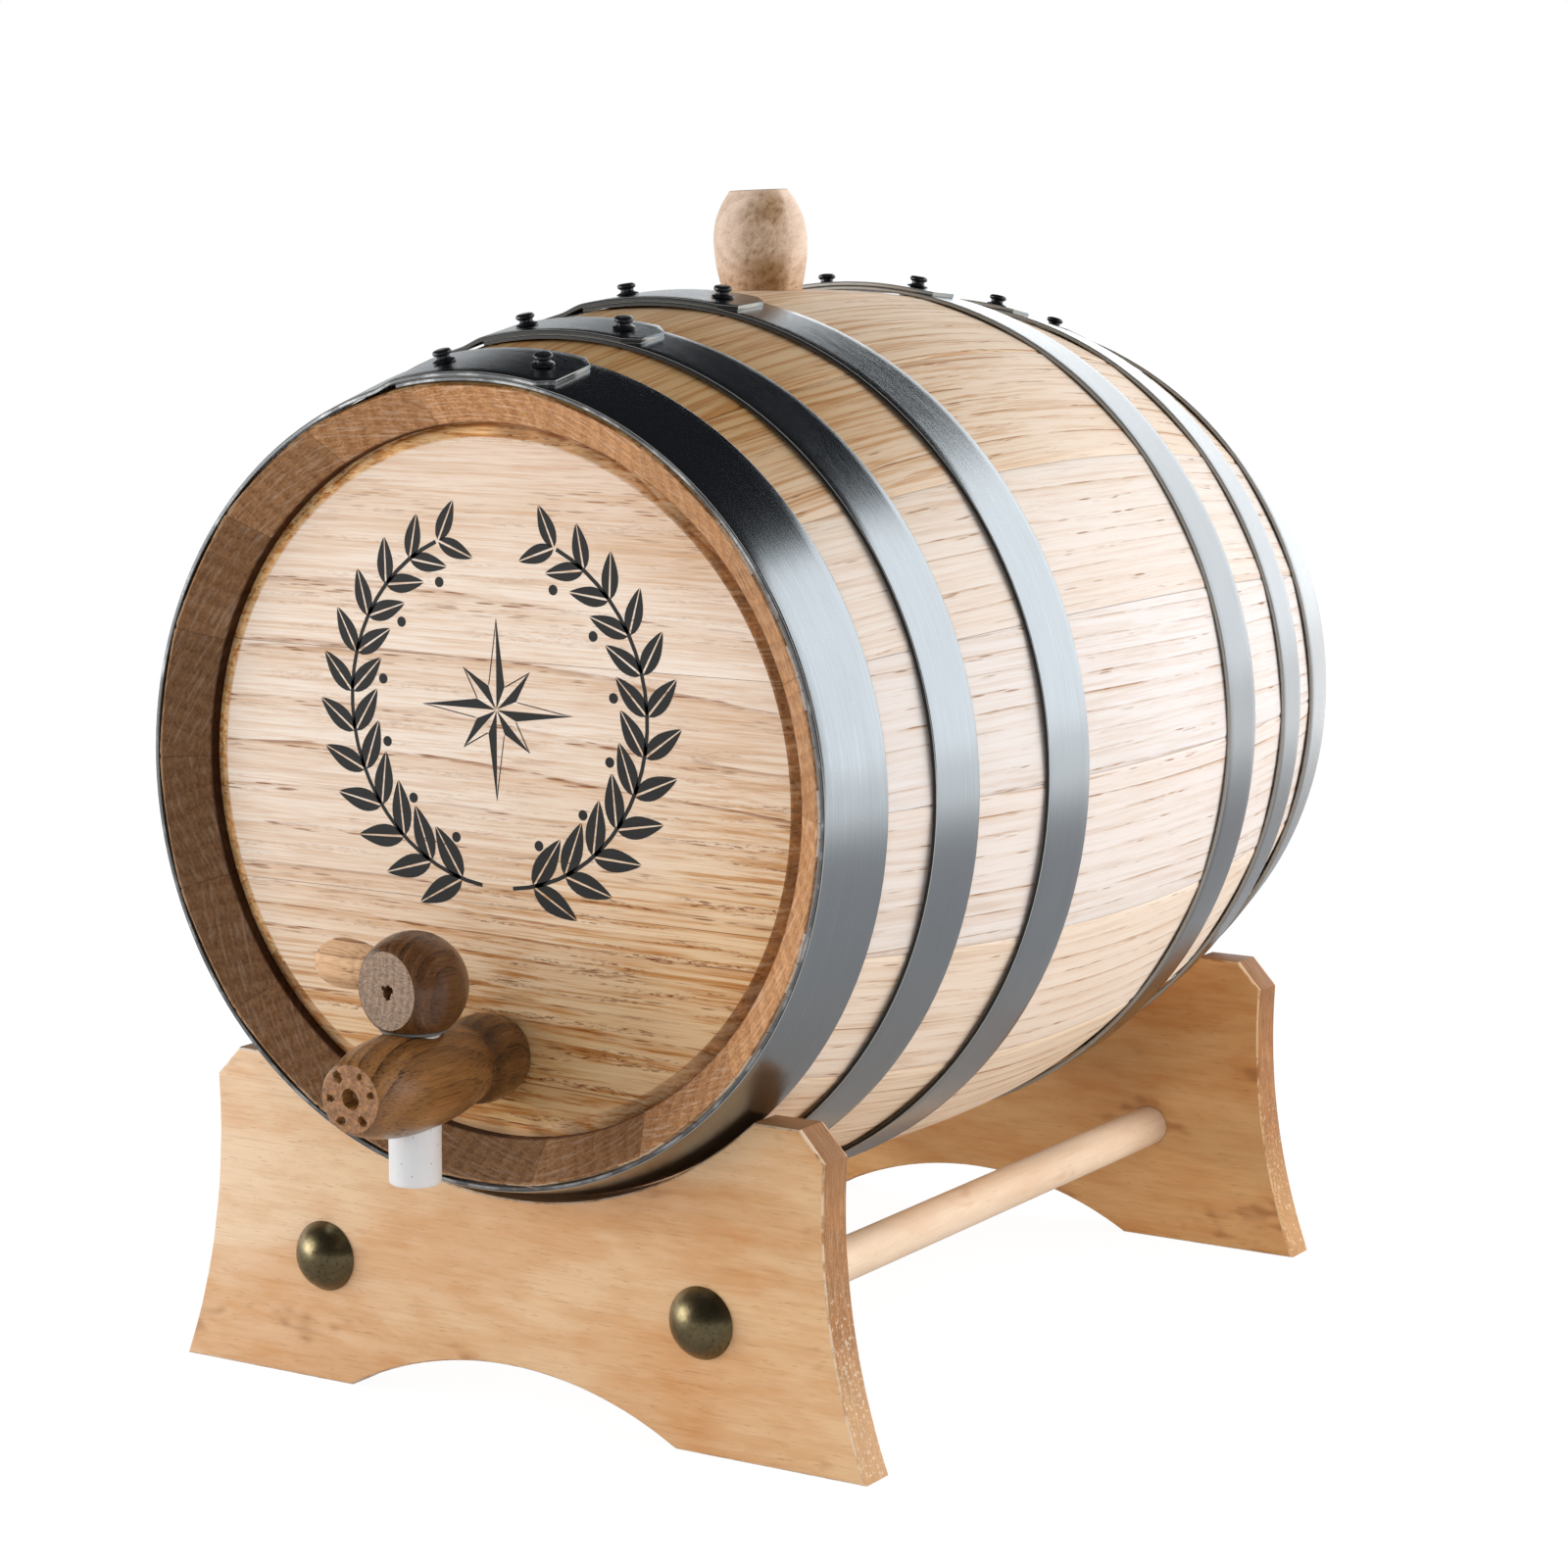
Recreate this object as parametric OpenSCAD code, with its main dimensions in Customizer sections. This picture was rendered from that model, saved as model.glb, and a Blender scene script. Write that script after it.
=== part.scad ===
// Small oak cask on a two-plate stand, with a wooden tap, a bung and steel hoops.
// The cask axis runs along Y, the tap points to -Y and +Z is up.
// The origin lies on the floor, under the middle of the whole object's length.

/* [Cask] */
// Length of the cask over both chimes
cask_len = 248; // [240:1:262]
// Outside radius of the staves at the chime
chime_r = 87; // [84:0.5:90]
// Outside radius of the staves at the bilge
bilge_r = 103.6; // [100:0.2:108]
// Thickness of the staves
stave_t = 11.6; // [10.4:0.1:12.4]
// Number of staves
stave_count = 18; // [16:1:20]
// Flat land on the end of each stave, outside the bevel
chime_land = 1; // [0.6:0.1:2]
// Depth of the chime bevel behind the stave ends
chime_depth = 7.7; // [7:0.1:9]
// Width of the plain lip between the chime bevel and the croze groove
lip_w = 2.6; // [2:0.1:4]
// Height of the cask axis above the floor
axis_z = 142.8; // [136:0.2:152]

/* [Heads] */
// Thickness of the heads
head_t = 11; // [8:0.5:13]
// Boards in each head
head_boards = 3; // [2:1:4]
// Depth of the head face behind the stave ends
head_face_depth = 9; // [8:0.1:9.5]
// Thickness of the head rim that sits in the croze groove
head_rim_t = 4; // [3:0.2:5]
// Depth of the croze groove
croze_depth = 2.8; // [2:0.1:3.6]
// Width of the bevel from the head face down to the lip of the groove
head_bevel_w = 3; // [2:0.1:4.5]
// Width of the bevel on the inner side of the heads
head_back_bevel_w = 6; // [4:0.5:8]

/* [Hoops] */
// Thickness of the hoop strip
hoop_t = 1; // [0.8:0.1:1.4]
// Width of the chime hoops
chime_hoop_w = 18.4; // [16:0.2:20]
// Width of the quarter hoops
quarter_hoop_w = 14.7; // [12:0.1:17]
// Width of the bilge hoops
bilge_hoop_w = 16.6; // [13:0.2:19]
// Distance of the quarter hoops' middle from the middle of the cask
quarter_hoop_at = 84; // [80:0.5:88]
// Distance of the bilge hoops' middle from the middle of the cask
bilge_hoop_at = 44.1; // [38:0.1:52]
// Half of the overlap where a hoop strip is riveted to itself
lap_half = 20; // [18:0.5:24]
// Corner cut off the end of the overlap
lap_corner = 3; // [2:0.5:4]
// Distance of each rivet from the middle of the overlap
rivet_x = 12.6; // [12:0.1:15]
// Radius of the rivet shanks
rivet_r = 1.6; // [1.2:0.1:1.9]
// Radius of the rivet heads
rivet_head_r = 2.15; // [2:0.05:2.8]
// Height of the rivets above the strip
rivet_h = 2.6; // [2.4:0.1:4.6]

/* [Bung] */
// Radius of the bung hole
bung_hole_r = 9.6; // [8:0.1:11]
// Widest radius of the bung
bung_r = 11.1; // [10.8:0.1:13]
// Radius of the bung's flat top
bung_top_r = 7.2; // [6:0.1:9]
// Height of the bung above the staves
bung_h = 23; // [18:0.2:28]
// How far the bung reaches in past the staves' inner face
bung_reach = 4; // [2:0.5:8]
// Radius of the bung's inner end
bung_end_r = 8; // [6.5:0.1:8]
// Lean of the bung and its hole to the left of the crown, in degrees
bung_lean = 3; // [0:0.2:3.6]
// Distance of the bung behind the middle of the cask
bung_at = 2; // [0:0.5:6]

/* [Tap] */
// Distance of the tap axis below the cask axis
tap_drop = 59.6; // [54:0.2:61]
// Length of the tap body in front of the head
tap_len = 53.1; // [50:0.1:60]
// Widest radius of the tap body
tap_r = 11.2; // [10.4:0.1:12.4]
// Radius of the tap body's flat front face
tap_face_r = 7.6; // [6.5:0.1:9]
// Radius of the waist between the tap body and its bead
tap_waist_r = 8.5; // [7.9:0.1:9.4]
// Radius of the bead against the head
tap_bead_r = 9.8; // [9.5:0.1:11]
// Length of the bead
tap_bead_len = 13.4; // [11:0.1:15]
// Radius of the tap shank where it passes through the head
tap_shank_r = 7.5; // [6.5:0.1:8]
// Radius of the tap shank's inner end
tap_shank_end_r = 6; // [5:0.1:6.4]
// How far the tap shank reaches past the inner face of the head
tap_shank_reach = 16; // [10:0.5:24]
// Radius of the liquor channel in the tap and of the key's port
channel_r = 3; // [2.4:0.1:3.4]
// Depth of the round seat for the key's collar, cut into the top of the tap body
collar_sink = 0.8; // [0.4:0.1:1.2]

/* [Key] */
// Distance of the key's axis in front of the head
key_at = 30.8; // [28:0.1:33]
// Outside radius of the key's tube where it turns in the tap
tube_r = 5.7; // [5.1:0.05:6.2]
// Step in radius from there down to the spout under the tap
spout_step = 0.05; // [0.03:0.01:0.2]
// Height of the small cone between the two
spout_lead = 0.5; // [0.3:0.1:1]
// Wall of the key's tube
tube_wall = 1.85; // [1.4:0.05:2]
// How far the tube shows below the tap body
tube_drop = 11.4; // [8:0.2:16]
// Radius of the collar on top of the tube
collar_r = 7.3; // [6.6:0.1:7.6]
// Thickness of the collar
collar_t = 0.8; // [0.6:0.1:2]
// Radius of the ball handle
ball_r = 11.75; // [10.8:0.05:13]
// Distance of the ball's flat front face from its centre
ball_flat = 7.9; // [7:0.1:9]
// Height of the ball's centre above its seat
ball_seat_h = 8.85; // [7.5:0.05:9.2]
// Radius of the stub that holds the ball on the tube
stub_r = 4; // [3:0.1:4.5]
// Length of the stub
stub_len = 6; // [4:0.2:6.4]
// Distance of the side peg's tip from the key's axis
peg_len = 28.6; // [24:0.2:28.6]
// Radius of the side peg
peg_r = 5.4; // [4.8:0.1:6]
// Radius of the side peg's tenon
peg_tenon_r = 2.6; // [2:0.1:3]
// Height of the side peg above the ball's centre
peg_rise = 2.1; // [0:0.1:2.6]
// Angle by which the key stands turned from square to the tap, in degrees
key_rest = 9.5; // [0:0.5:20]

/* [Stand] */
// Distance over the outer faces of the stand plates
stand_len = 224.4; // [218:0.2:228]
// Thickness of the stand plates
plate_t = 10; // [8:0.5:12]
// Width of the plates' cheeks, from the cradle's edge to the waist
cheek_w = 17.4; // [14:0.2:24]
// Height of the waist above the floor
waist_z = 58; // [50:1:62]
// Radius of the hollow sides
side_r = 160; // [140:5:220]
// Height of the plates' shoulders above the floor
shoulder_z = 75; // [68:0.5:80]
// Size of the cut corners at the shoulders
shoulder_cut = 6.8; // [4:0.2:10]
// Height of the arch between the feet
arch_h = 11.6; // [9:0.2:16]
// Half width of the arch at the floor
arch_half = 44; // [36:1:52]
// Radius of the dowels
dowel_r = 5; // [4:0.1:6]
// Distance of the dowels from the middle of the stand
dowel_x = 50.8; // [46:0.2:56]
// Height of the dowels above the floor
dowel_z = 29.4; // [26:0.2:32]
// Radius of the domed caps over the dowel ends
cap_r = 8.1; // [6.6:0.1:9]
// Height of the domed caps
cap_h = 5.2; // [3.2:0.1:6]
// Thickness of the caps' metal
cap_t = 0.8; // [0.6:0.1:1]
// Radius of the caps' nails
nail_r = 1.2; // [0.9:0.1:1.6]
// Length of the caps' nails in the dowels
nail_len = 11; // [8:0.5:16]

/* [Fits] */
// Gap left between neighbouring staves and boards
wood_joint = 0.1; // [0.06:0.02:0.2]
// Clearance of glued and driven pieces in their seats
seat_gap = 0.1; // [0.06:0.01:0.14]
// Radial clearance of the key's tube in the tap
key_gap = 0.05; // [0.03:0.01:0.08]
// Radial clearance of the bung in its hole
bung_gap = 0.1; // [0.05:0.01:0.1]
// Clearance around the key's collar in its seat
collar_gap = 0.3; // [0.2:0.05:0.5]
// Clearance between the cask and its cradle
cradle_gap = 0.3; // [0.2:0.1:0.6]

/* [Hidden] */
$fn = 72;
// Small overrun that lets a cut break through a face
cut = 1;
// Straight steps along the staves' curved outline
stave_steps = 18;
// Straight steps along a turned outline
turned_steps = 14;

cask_half = cask_len / 2;
// The origin is half way between the tap's face and the far stave ends
tap_tip = cask_half - head_face_depth + tap_len;
cask_y = (tap_tip - cask_half) / 2;
tap_z = axis_z - tap_drop;
key_y = cask_y - cask_half + head_face_depth - key_at;

// Outside and inside radius of the staves at a distance from the middle of the cask
function stave_out(a) = bilge_r - (bilge_r - chime_r) * pow(a / cask_half, 2);
function stave_in(a) = stave_out(a) - stave_t;

// The croze groove, and the head's rim in it
lip_a = cask_half - chime_depth - lip_w;
lip_r = stave_in(lip_a);
croze_w = head_rim_t + 2 * seat_gap;
croze_r = lip_r + croze_depth;
head_r = croze_r - seat_gap;
face_a = cask_half - head_face_depth;

// Places and widths of the hoops, counted from the tap's end
hoop_at = [cask_half - chime_hoop_w / 2, quarter_hoop_at, bilge_hoop_at,
           -bilge_hoop_at, -quarter_hoop_at, chime_hoop_w / 2 - cask_half];
hoop_w = [chime_hoop_w, quarter_hoop_w, bilge_hoop_w,
          bilge_hoop_w, quarter_hoop_w, chime_hoop_w];
// A flat strip stands off the bulging staves by the bulge under it
function hoop_bulge(k) = (bilge_r - chime_r) * pow(hoop_w[k] / cask_len, 2);
function hoop_in(k, a) = stave_out(a) + hoop_bulge(k) + seat_gap;
function hoop_slope(k) = atan((hoop_in(k, hoop_at[k] + hoop_w[k] / 2)
                             - hoop_in(k, hoop_at[k] - hoop_w[k] / 2)) / hoop_w[k]);

// The cradle clears the widest ring that lies within a plate, and the cheeks stand beside it
plate_in_a = stand_len / 2 - plate_t;
chime_hoop_edge = cask_half - chime_hoop_w;
cradle_r = max(stave_out(plate_in_a),
               hoop_in(0, max(plate_in_a, chime_hoop_edge)) + hoop_t) + cradle_gap;
waist_half = sqrt(cradle_r * cradle_r - pow(axis_z - shoulder_z, 2)) + cheek_w;

// The key's heights, counted from the tap's axis
tap_top = tap_r - collar_sink + seat_gap;
seat_z = tap_z + tap_top + collar_t;
ball_z = seat_z + seat_gap + ball_seat_h;
tube_end_z = tap_z - tap_r - tube_drop;
// Where the side peg leaves the ball, and where its tenon ends beside the stub
peg_root = sqrt(ball_r * ball_r - peg_rise * peg_rise);
peg_tenon_at = stub_r + 3 * seat_gap;

stave_names = [for (i = [1:stave_count]) str("stave_", i)];
hoop_names = ["chime_hoop_front", "quarter_hoop_front", "bilge_hoop_front",
              "bilge_hoop_rear", "quarter_hoop_rear", "chime_hoop_rear"];
front_board_names = [for (i = [1:head_boards]) str("front_head_board_", i)];
rear_board_names = [for (i = [1:head_boards]) str("rear_head_board_", i)];

// Puts a piece drawn with its axis on Z on the cask's axis, +Z towards the tap and +Y up
module on_cask_axis() {
    translate([0, cask_y, axis_z]) rotate([90, 0, 0]) children();
}

// Puts a piece on the bung's leaning axis, with Z = 0 on the cask's axis
module on_bung_axis() {
    translate([0, cask_y + bung_at, axis_z]) rotate([0, -bung_lean, 0]) children();
}

// Puts a piece on the key's axis, turned as the key stands at rest
module on_key_axis() {
    translate([0, key_y, 0]) rotate([0, 0, -key_rest]) children();
}

// The cask's axis again, but with Z = 0 on the front head's face and on the tap's axis
module on_tap_axis() {
    on_cask_axis() translate([0, -tap_drop, face_a]) children();
}

// Cross-section of a stave along the cask, bent outside and inside and grooved at both ends
module stave_outline() {
    bend = [for (i = [0:stave_steps]) -cask_half + i * cask_len / stave_steps];
    groove_a = lip_a - croze_w;
    inner = [for (i = [0:stave_steps]) groove_a - i * 2 * groove_a / stave_steps];
    polygon(concat(
        [for (a = bend) [stave_out(a), a]],
        [[chime_r - chime_land, cask_half], [lip_r, cask_half - chime_depth],
         [lip_r, lip_a], [croze_r, lip_a], [croze_r, groove_a]],
        [for (a = inner) [stave_in(a), a]],
        [[croze_r, -groove_a], [croze_r, -lip_a], [lip_r, -lip_a],
         [lip_r, chime_depth - cask_half], [chime_r - chime_land, -cask_half]]
    ));
}

// One stave; the first is at the top and holds the bung hole
module stave(i) {
    turn = 360 / stave_count;
    gap_turn = wood_joint / bilge_r * 180 / PI;
    color("burlywood") difference() {
        on_cask_axis()
            rotate([0, 0, 90 + (i - 1.5) * turn + gap_turn / 2])
                rotate_extrude(angle = turn - gap_turn) stave_outline();
        if (i == 1)
            on_bung_axis() translate([0, 0, stave_in(0) - cut])
                cylinder(r = bung_hole_r, h = stave_t + 2 * cut);
    }
}

// Ring of strip for one hoop; the overlap's layer is sunk half way into the first, to be one with it
module strip_ring(k, layer) {
    low = hoop_at[k] - hoop_w[k] / 2;
    high = hoop_at[k] + hoop_w[k] / 2;
    from = layer * hoop_t / 2;
    to = (layer + 1) * hoop_t;
    on_cask_axis() rotate_extrude()
        polygon([[hoop_in(k, low) + from, low], [hoop_in(k, low) + to, low],
                 [hoop_in(k, high) + to, high], [hoop_in(k, high) + from, high]]);
}

// Puts a piece on one rivet's axis, with Z = 0 on the strip's inner face
module on_rivet_axis(k, side) {
    r = hoop_in(k, hoop_at[k]);
    on_cask_axis() rotate([0, 0, -side * asin(rivet_x / r)]) translate([0, r, hoop_at[k]])
        rotate([-90 - hoop_slope(k), 0, 0]) children();
}

// One hoop: a steel strip bent to a cone, lapped over itself at the top
module hoop(k) {
    low = cask_y - hoop_at[k] - hoop_w[k] / 2;
    high = low + hoop_w[k];
    color("darkslategray") difference() {
        union() {
            strip_ring(k, 0);
            intersection() {
                strip_ring(k, 1);
                translate([0, 0, axis_z]) linear_extrude(bilge_r + chime_r)
                    polygon([[-lap_half, low + lap_corner], [lap_corner - lap_half, low],
                             [lap_half - lap_corner, low], [lap_half, low + lap_corner],
                             [lap_half, high - lap_corner], [lap_half - lap_corner, high],
                             [lap_corner - lap_half, high], [-lap_half, high - lap_corner]]);
            }
        }
        for (side = [-1, 1]) on_rivet_axis(k, side)
            translate([0, 0, -cut]) cylinder(r = rivet_r + seat_gap, h = 2 * (hoop_t + cut));
    }
}

// Two rivets through each overlap, with a flared foot and a knob head
module hoop_rivets() {
    foot_r = rivet_head_r + 0.45;
    foot_h = 0.5;
    knob_h = rivet_h * 0.5;
    base = 2 * hoop_t + seat_gap;
    color("black") for (k = [0:5], side = [-1, 1]) on_rivet_axis(k, side) rotate_extrude()
        polygon([[0, seat_gap], [rivet_r, seat_gap], [rivet_r, base], [foot_r, base],
                 [foot_r, base + foot_h / 2], [rivet_r, base + foot_h],
                 [rivet_r, base + rivet_h - knob_h],
                 [rivet_head_r, base + rivet_h - knob_h * 0.6],
                 [rivet_head_r * 0.94, base + rivet_h - knob_h * 0.25],
                 [rivet_head_r * 0.7, base + rivet_h], [0, base + rivet_h]]);
}

// A whole head with its face at Z = face_a and its rim in the groove
module head_disc() {
    rim_front = lip_a - seat_gap;
    rim_back = rim_front - head_rim_t;
    back = face_a - head_t;
    rotate_extrude()
        polygon([[0, face_a], [lip_r - head_bevel_w, face_a], [lip_r, rim_front],
                 [head_r, rim_front], [head_r, rim_back], [lip_r - seat_gap, rim_back],
                 [lip_r - head_back_bevel_w, back], [0, back]]);
}

// One board of a head, counted from the lowest
module head_board(i) {
    board_w = 2 * head_r / head_boards;
    intersection() {
        head_disc();
        translate([-head_r, (i - 1) * board_w - head_r + wood_joint / 2, 0])
            cube([2 * head_r, board_w - wood_joint, cask_half]);
    }
}

module front_head_board(i) {
    color("wheat") difference() {
        on_cask_axis() head_board(i);
        on_tap_axis() translate([0, 0, -head_t - cut])
            cylinder(r = tap_shank_r + seat_gap, h = head_t + 2 * cut);
    }
}

module rear_head_board(i) {
    color("wheat") on_cask_axis() mirror([0, 0, 1]) head_board(i);
}

// Turned bung: a tapered shank in the hole and a barrel-shaped knob above it
module bung() {
    neck_r = bung_hole_r - bung_gap;
    mid = bung_h * 0.48;
    shank = stave_t + bung_reach;
    lower = [for (i = [0:turned_steps]) let (t = 1 - i / turned_steps)
             [bung_r - (bung_r - neck_r) * t * t, mid * (1 - t)]];
    upper = [for (i = [1:turned_steps]) let (t = i / turned_steps)
             [bung_r - (bung_r - bung_top_r) * t * t, mid + (bung_h - mid) * t]];
    color("tan") on_bung_axis() translate([0, 0, bilge_r]) rotate_extrude()
        polygon(concat([[0, -shank], [bung_end_r, -shank], [neck_r, -stave_t / 2]],
                       lower, upper, [[0, bung_h]]));
}

// Turned tap body: a barrel, a waist, a bead against the head and a shank through it
module tap_body() {
    inner_end = -head_t - tap_shank_reach;
    widest = (tap_len + tap_bead_len) / 2;
    bead = [for (i = [0:turned_steps]) let (t = 2 * i / turned_steps - 1)
            [tap_bead_r - (tap_bead_r - tap_waist_r) * t * t, seat_gap + (t + 1) / 2 * tap_bead_len]];
    rear = [for (i = [1:turned_steps]) let (t = 1 - i / turned_steps)
            [tap_r - (tap_r - tap_waist_r) * t * t, widest - (widest - tap_bead_len) * t]];
    front = [for (i = [1:turned_steps]) let (t = i / turned_steps)
             [tap_r - (tap_r - tap_face_r) * pow(t, 2.4), widest + (tap_len - widest) * t]];
    color("saddlebrown") difference() {
        on_tap_axis() rotate_extrude()
            polygon(concat([[0, inner_end], [tap_shank_end_r, inner_end],
                            [tap_shank_r, -head_t], [tap_shank_r, seat_gap]],
                           bead, rear, front, [[0, tap_len]]));
        on_tap_axis() translate([0, 0, inner_end - cut])
            cylinder(r = channel_r, h = key_at - inner_end + cut);
        translate([0, key_y, tap_z - tap_r - cut])
            cylinder(r = tube_r + key_gap, h = 2 * (tap_r + cut));
        translate([0, key_y, tap_z + tap_r - collar_sink])
            cylinder(r = collar_r + collar_gap, h = collar_sink + cut);
    }
}

// Plastic tube that turns in the tap: collar, side port and open lower end
module key_tube() {
    roof = tap_z + channel_r + tube_wall;
    spout_r = tube_r - spout_step;
    spout_top = tap_z - tap_r - 2 * seat_gap;
    color("whitesmoke") difference() {
        on_key_axis() rotate_extrude()
            polygon([[0, tube_end_z], [spout_r, tube_end_z], [spout_r, spout_top],
                     [tube_r, spout_top + spout_lead], [tube_r, tap_z + tap_top],
                     [collar_r, tap_z + tap_top], [collar_r, seat_z], [stub_r, seat_z],
                     [stub_r, seat_z + stub_len], [0, seat_z + stub_len]]);
        on_key_axis() translate([0, 0, tube_end_z - cut])
            cylinder(r = tube_r - tube_wall, h = roof - tube_end_z + cut);
        on_key_axis() translate([0, 0, tap_z]) rotate([0, 90, 0])
            cylinder(r = channel_r, h = tube_r + cut);
    }
}

// Turned ball with a sawn front, seated on the collar
module key_ball() {
    color("peru") difference() {
        on_key_axis() translate([0, 0, ball_z]) intersection() {
            sphere(r = ball_r);
            translate([-ball_r, -ball_flat, -ball_seat_h]) cube([2 * ball_r, 2 * ball_r, 2 * ball_r]);
        }
        on_key_axis() translate([0, 0, ball_z - ball_seat_h - cut])
            cylinder(r = stub_r + seat_gap, h = stub_len + cut);
        on_key_axis() translate([0, 0, ball_z + peg_rise]) rotate([0, -90, 0])
            translate([0, 0, peg_tenon_at - seat_gap])
                cylinder(r = peg_tenon_r + seat_gap, h = ball_r);
    }
}

// Turned side peg: a tenon in the ball and an egg-shaped knob that narrows towards the ball
module key_peg() {
    neck_r = peg_r * 0.76;
    start = peg_root + seat_gap;
    widest_u = start + (peg_len - start) * 0.58;
    rise = [for (i = [0:turned_steps]) let (t = 1 - i / turned_steps)
            [peg_r - (peg_r - neck_r) * t * t, widest_u - (widest_u - start) * t]];
    round_end = [for (i = [1:turned_steps]) let (t = i / turned_steps * 90)
                 [peg_r * cos(t), widest_u + (peg_len - widest_u) * sin(t)]];
    color("sandybrown") on_key_axis() translate([0, 0, ball_z + peg_rise])
        rotate([0, -90, 0]) rotate_extrude()
            polygon(concat([[0, peg_tenon_at], [peg_tenon_r, peg_tenon_at], [peg_tenon_r, start]],
                           rise, round_end));
}

// One stand plate, drawn on its own at the front: waisted sides, cut shoulders, cradle and arch
module stand_plate() {
    side_x = waist_half + side_r;
    foot_half = side_x - sqrt(side_r * side_r - waist_z * waist_z);
    arch_r = (arch_half * arch_half + arch_h * arch_h) / (2 * arch_h);
    shoulder_half = side_x - sqrt(side_r * side_r - pow(shoulder_z - waist_z, 2));
    difference() {
        translate([0, cask_y - stand_len / 2 + plate_t, 0]) rotate([90, 0, 0])
            linear_extrude(plate_t) difference() {
                polygon([[-foot_half, 0], [foot_half, 0], [foot_half, shoulder_z - shoulder_cut],
                         [shoulder_half, shoulder_z - shoulder_cut],
                         [shoulder_half - shoulder_cut, shoulder_z],
                         [shoulder_cut - shoulder_half, shoulder_z],
                         [-shoulder_half, shoulder_z - shoulder_cut],
                         [-foot_half, shoulder_z - shoulder_cut]]);
                for (side = [-1, 1]) translate([side * side_x, waist_z]) circle(r = side_r);
                translate([0, arch_h - arch_r]) circle(r = arch_r);
                translate([0, axis_z]) circle(r = cradle_r);
            }
        for (side = [-1, 1]) translate([side * dowel_x, cask_y - stand_len / 2 - cut, dowel_z])
            rotate([-90, 0, 0]) cylinder(r = dowel_r + seat_gap, h = plate_t + 2 * cut);
    }
}

module stand_plate_front() {
    color("goldenrod") stand_plate();
}

module stand_plate_rear() {
    color("goldenrod") translate([0, 2 * cask_y, 0]) mirror([0, 1, 0]) stand_plate();
}

// Dowel through both plates, drilled at both ends for the caps' nails
module stand_dowel(side) {
    recess = 0.5;
    dowel_len = stand_len - 2 * recess;
    hole_len = nail_len + cut;
    color("navajowhite") translate([side * dowel_x, cask_y - dowel_len / 2, dowel_z])
        rotate([-90, 0, 0]) difference() {
            cylinder(r = dowel_r, h = dowel_len);
            translate([0, 0, -cut]) cylinder(r = nail_r + seat_gap, h = hole_len + cut);
            translate([0, 0, dowel_len - hole_len])
                cylinder(r = nail_r + seat_gap, h = hole_len + cut);
        }
}

// Domed metal cap on a nail, with its rim at Z = 0 and its dome towards +Z
module cap() {
    dome_r = (cap_r * cap_r + cap_h * cap_h) / (2 * cap_h);
    difference() {
        intersection() {
            translate([0, 0, cap_h - dome_r]) sphere(r = dome_r);
            cylinder(r = cap_r + cut, h = cap_h + cut);
        }
        intersection() {
            translate([0, 0, cap_h - dome_r]) sphere(r = dome_r - cap_t);
            translate([0, 0, -cut]) cylinder(r = cap_r, h = cap_h + cut);
        }
    }
    translate([0, 0, -nail_len]) cylinder(r = nail_r, h = nail_len + cap_h - cap_t / 2);
}

// Four caps, one over each dowel end
module stand_caps() {
    color("darkkhaki") for (x = [-dowel_x, dowel_x], end = [-1, 1])
        translate([x, cask_y + end * (stand_len / 2 + seat_gap), dowel_z])
            rotate([-end * 90, 0, 0]) cap();
}

for (i = [1:stave_count])
    stave(i);
for (k = [0:5])
    hoop(k);
for (i = [1:head_boards])
    front_head_board(i);
for (i = [1:head_boards])
    rear_head_board(i);
hoop_rivets();
bung();
tap_body();
key_tube();
key_ball();
key_peg();
stand_plate_front();
stand_plate_rear();
stand_dowel(-1);  // stand_dowel_left
stand_dowel(1);  // stand_dowel_right
stand_caps();
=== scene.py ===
import bmesh
import bpy
import random
from math import acos, asin, atan, atan2, cos, degrees, exp, hypot, pi, radians, sin, sqrt
from mathutils import Matrix, Vector


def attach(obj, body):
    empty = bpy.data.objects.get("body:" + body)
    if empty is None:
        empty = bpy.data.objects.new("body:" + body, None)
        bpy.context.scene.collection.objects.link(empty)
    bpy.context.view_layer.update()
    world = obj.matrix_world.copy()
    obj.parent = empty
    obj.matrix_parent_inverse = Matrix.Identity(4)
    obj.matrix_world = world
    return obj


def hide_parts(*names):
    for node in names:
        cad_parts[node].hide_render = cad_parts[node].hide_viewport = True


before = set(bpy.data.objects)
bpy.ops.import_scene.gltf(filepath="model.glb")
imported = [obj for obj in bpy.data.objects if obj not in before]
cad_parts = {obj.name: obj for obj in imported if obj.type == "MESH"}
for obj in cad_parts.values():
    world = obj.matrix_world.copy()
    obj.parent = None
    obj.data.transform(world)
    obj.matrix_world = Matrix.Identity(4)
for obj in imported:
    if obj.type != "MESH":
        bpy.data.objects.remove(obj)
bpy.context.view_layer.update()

# ---- View ----
# The cask is seen from its tap end, a little from the right and a little from above, with the
# whole of it and its stand in a square picture. A long lens keeps the two ends near one size.


def placed(name, data):
    """A new object in the scene."""
    made = bpy.data.objects.new(name, data)
    bpy.context.scene.collection.objects.link(made)
    return made


eye, heading, down, roll, focal_length = (0.5107, -0.80655, 0.2776), 31.53, 8.75, 0.21, 93.92
lens = bpy.data.cameras.new("view")
lens.lens, lens.sensor_width = focal_length, 36
camera = placed("view", lens)
bpy.context.scene.camera = camera
camera.matrix_world = (Matrix.Translation(eye) @ Matrix.Rotation(radians(heading), 4, "Z")
                       @ Matrix.Rotation(radians(90 - down), 4, "X")
                       @ Matrix.Rotation(radians(roll), 4, "Z"))

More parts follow.
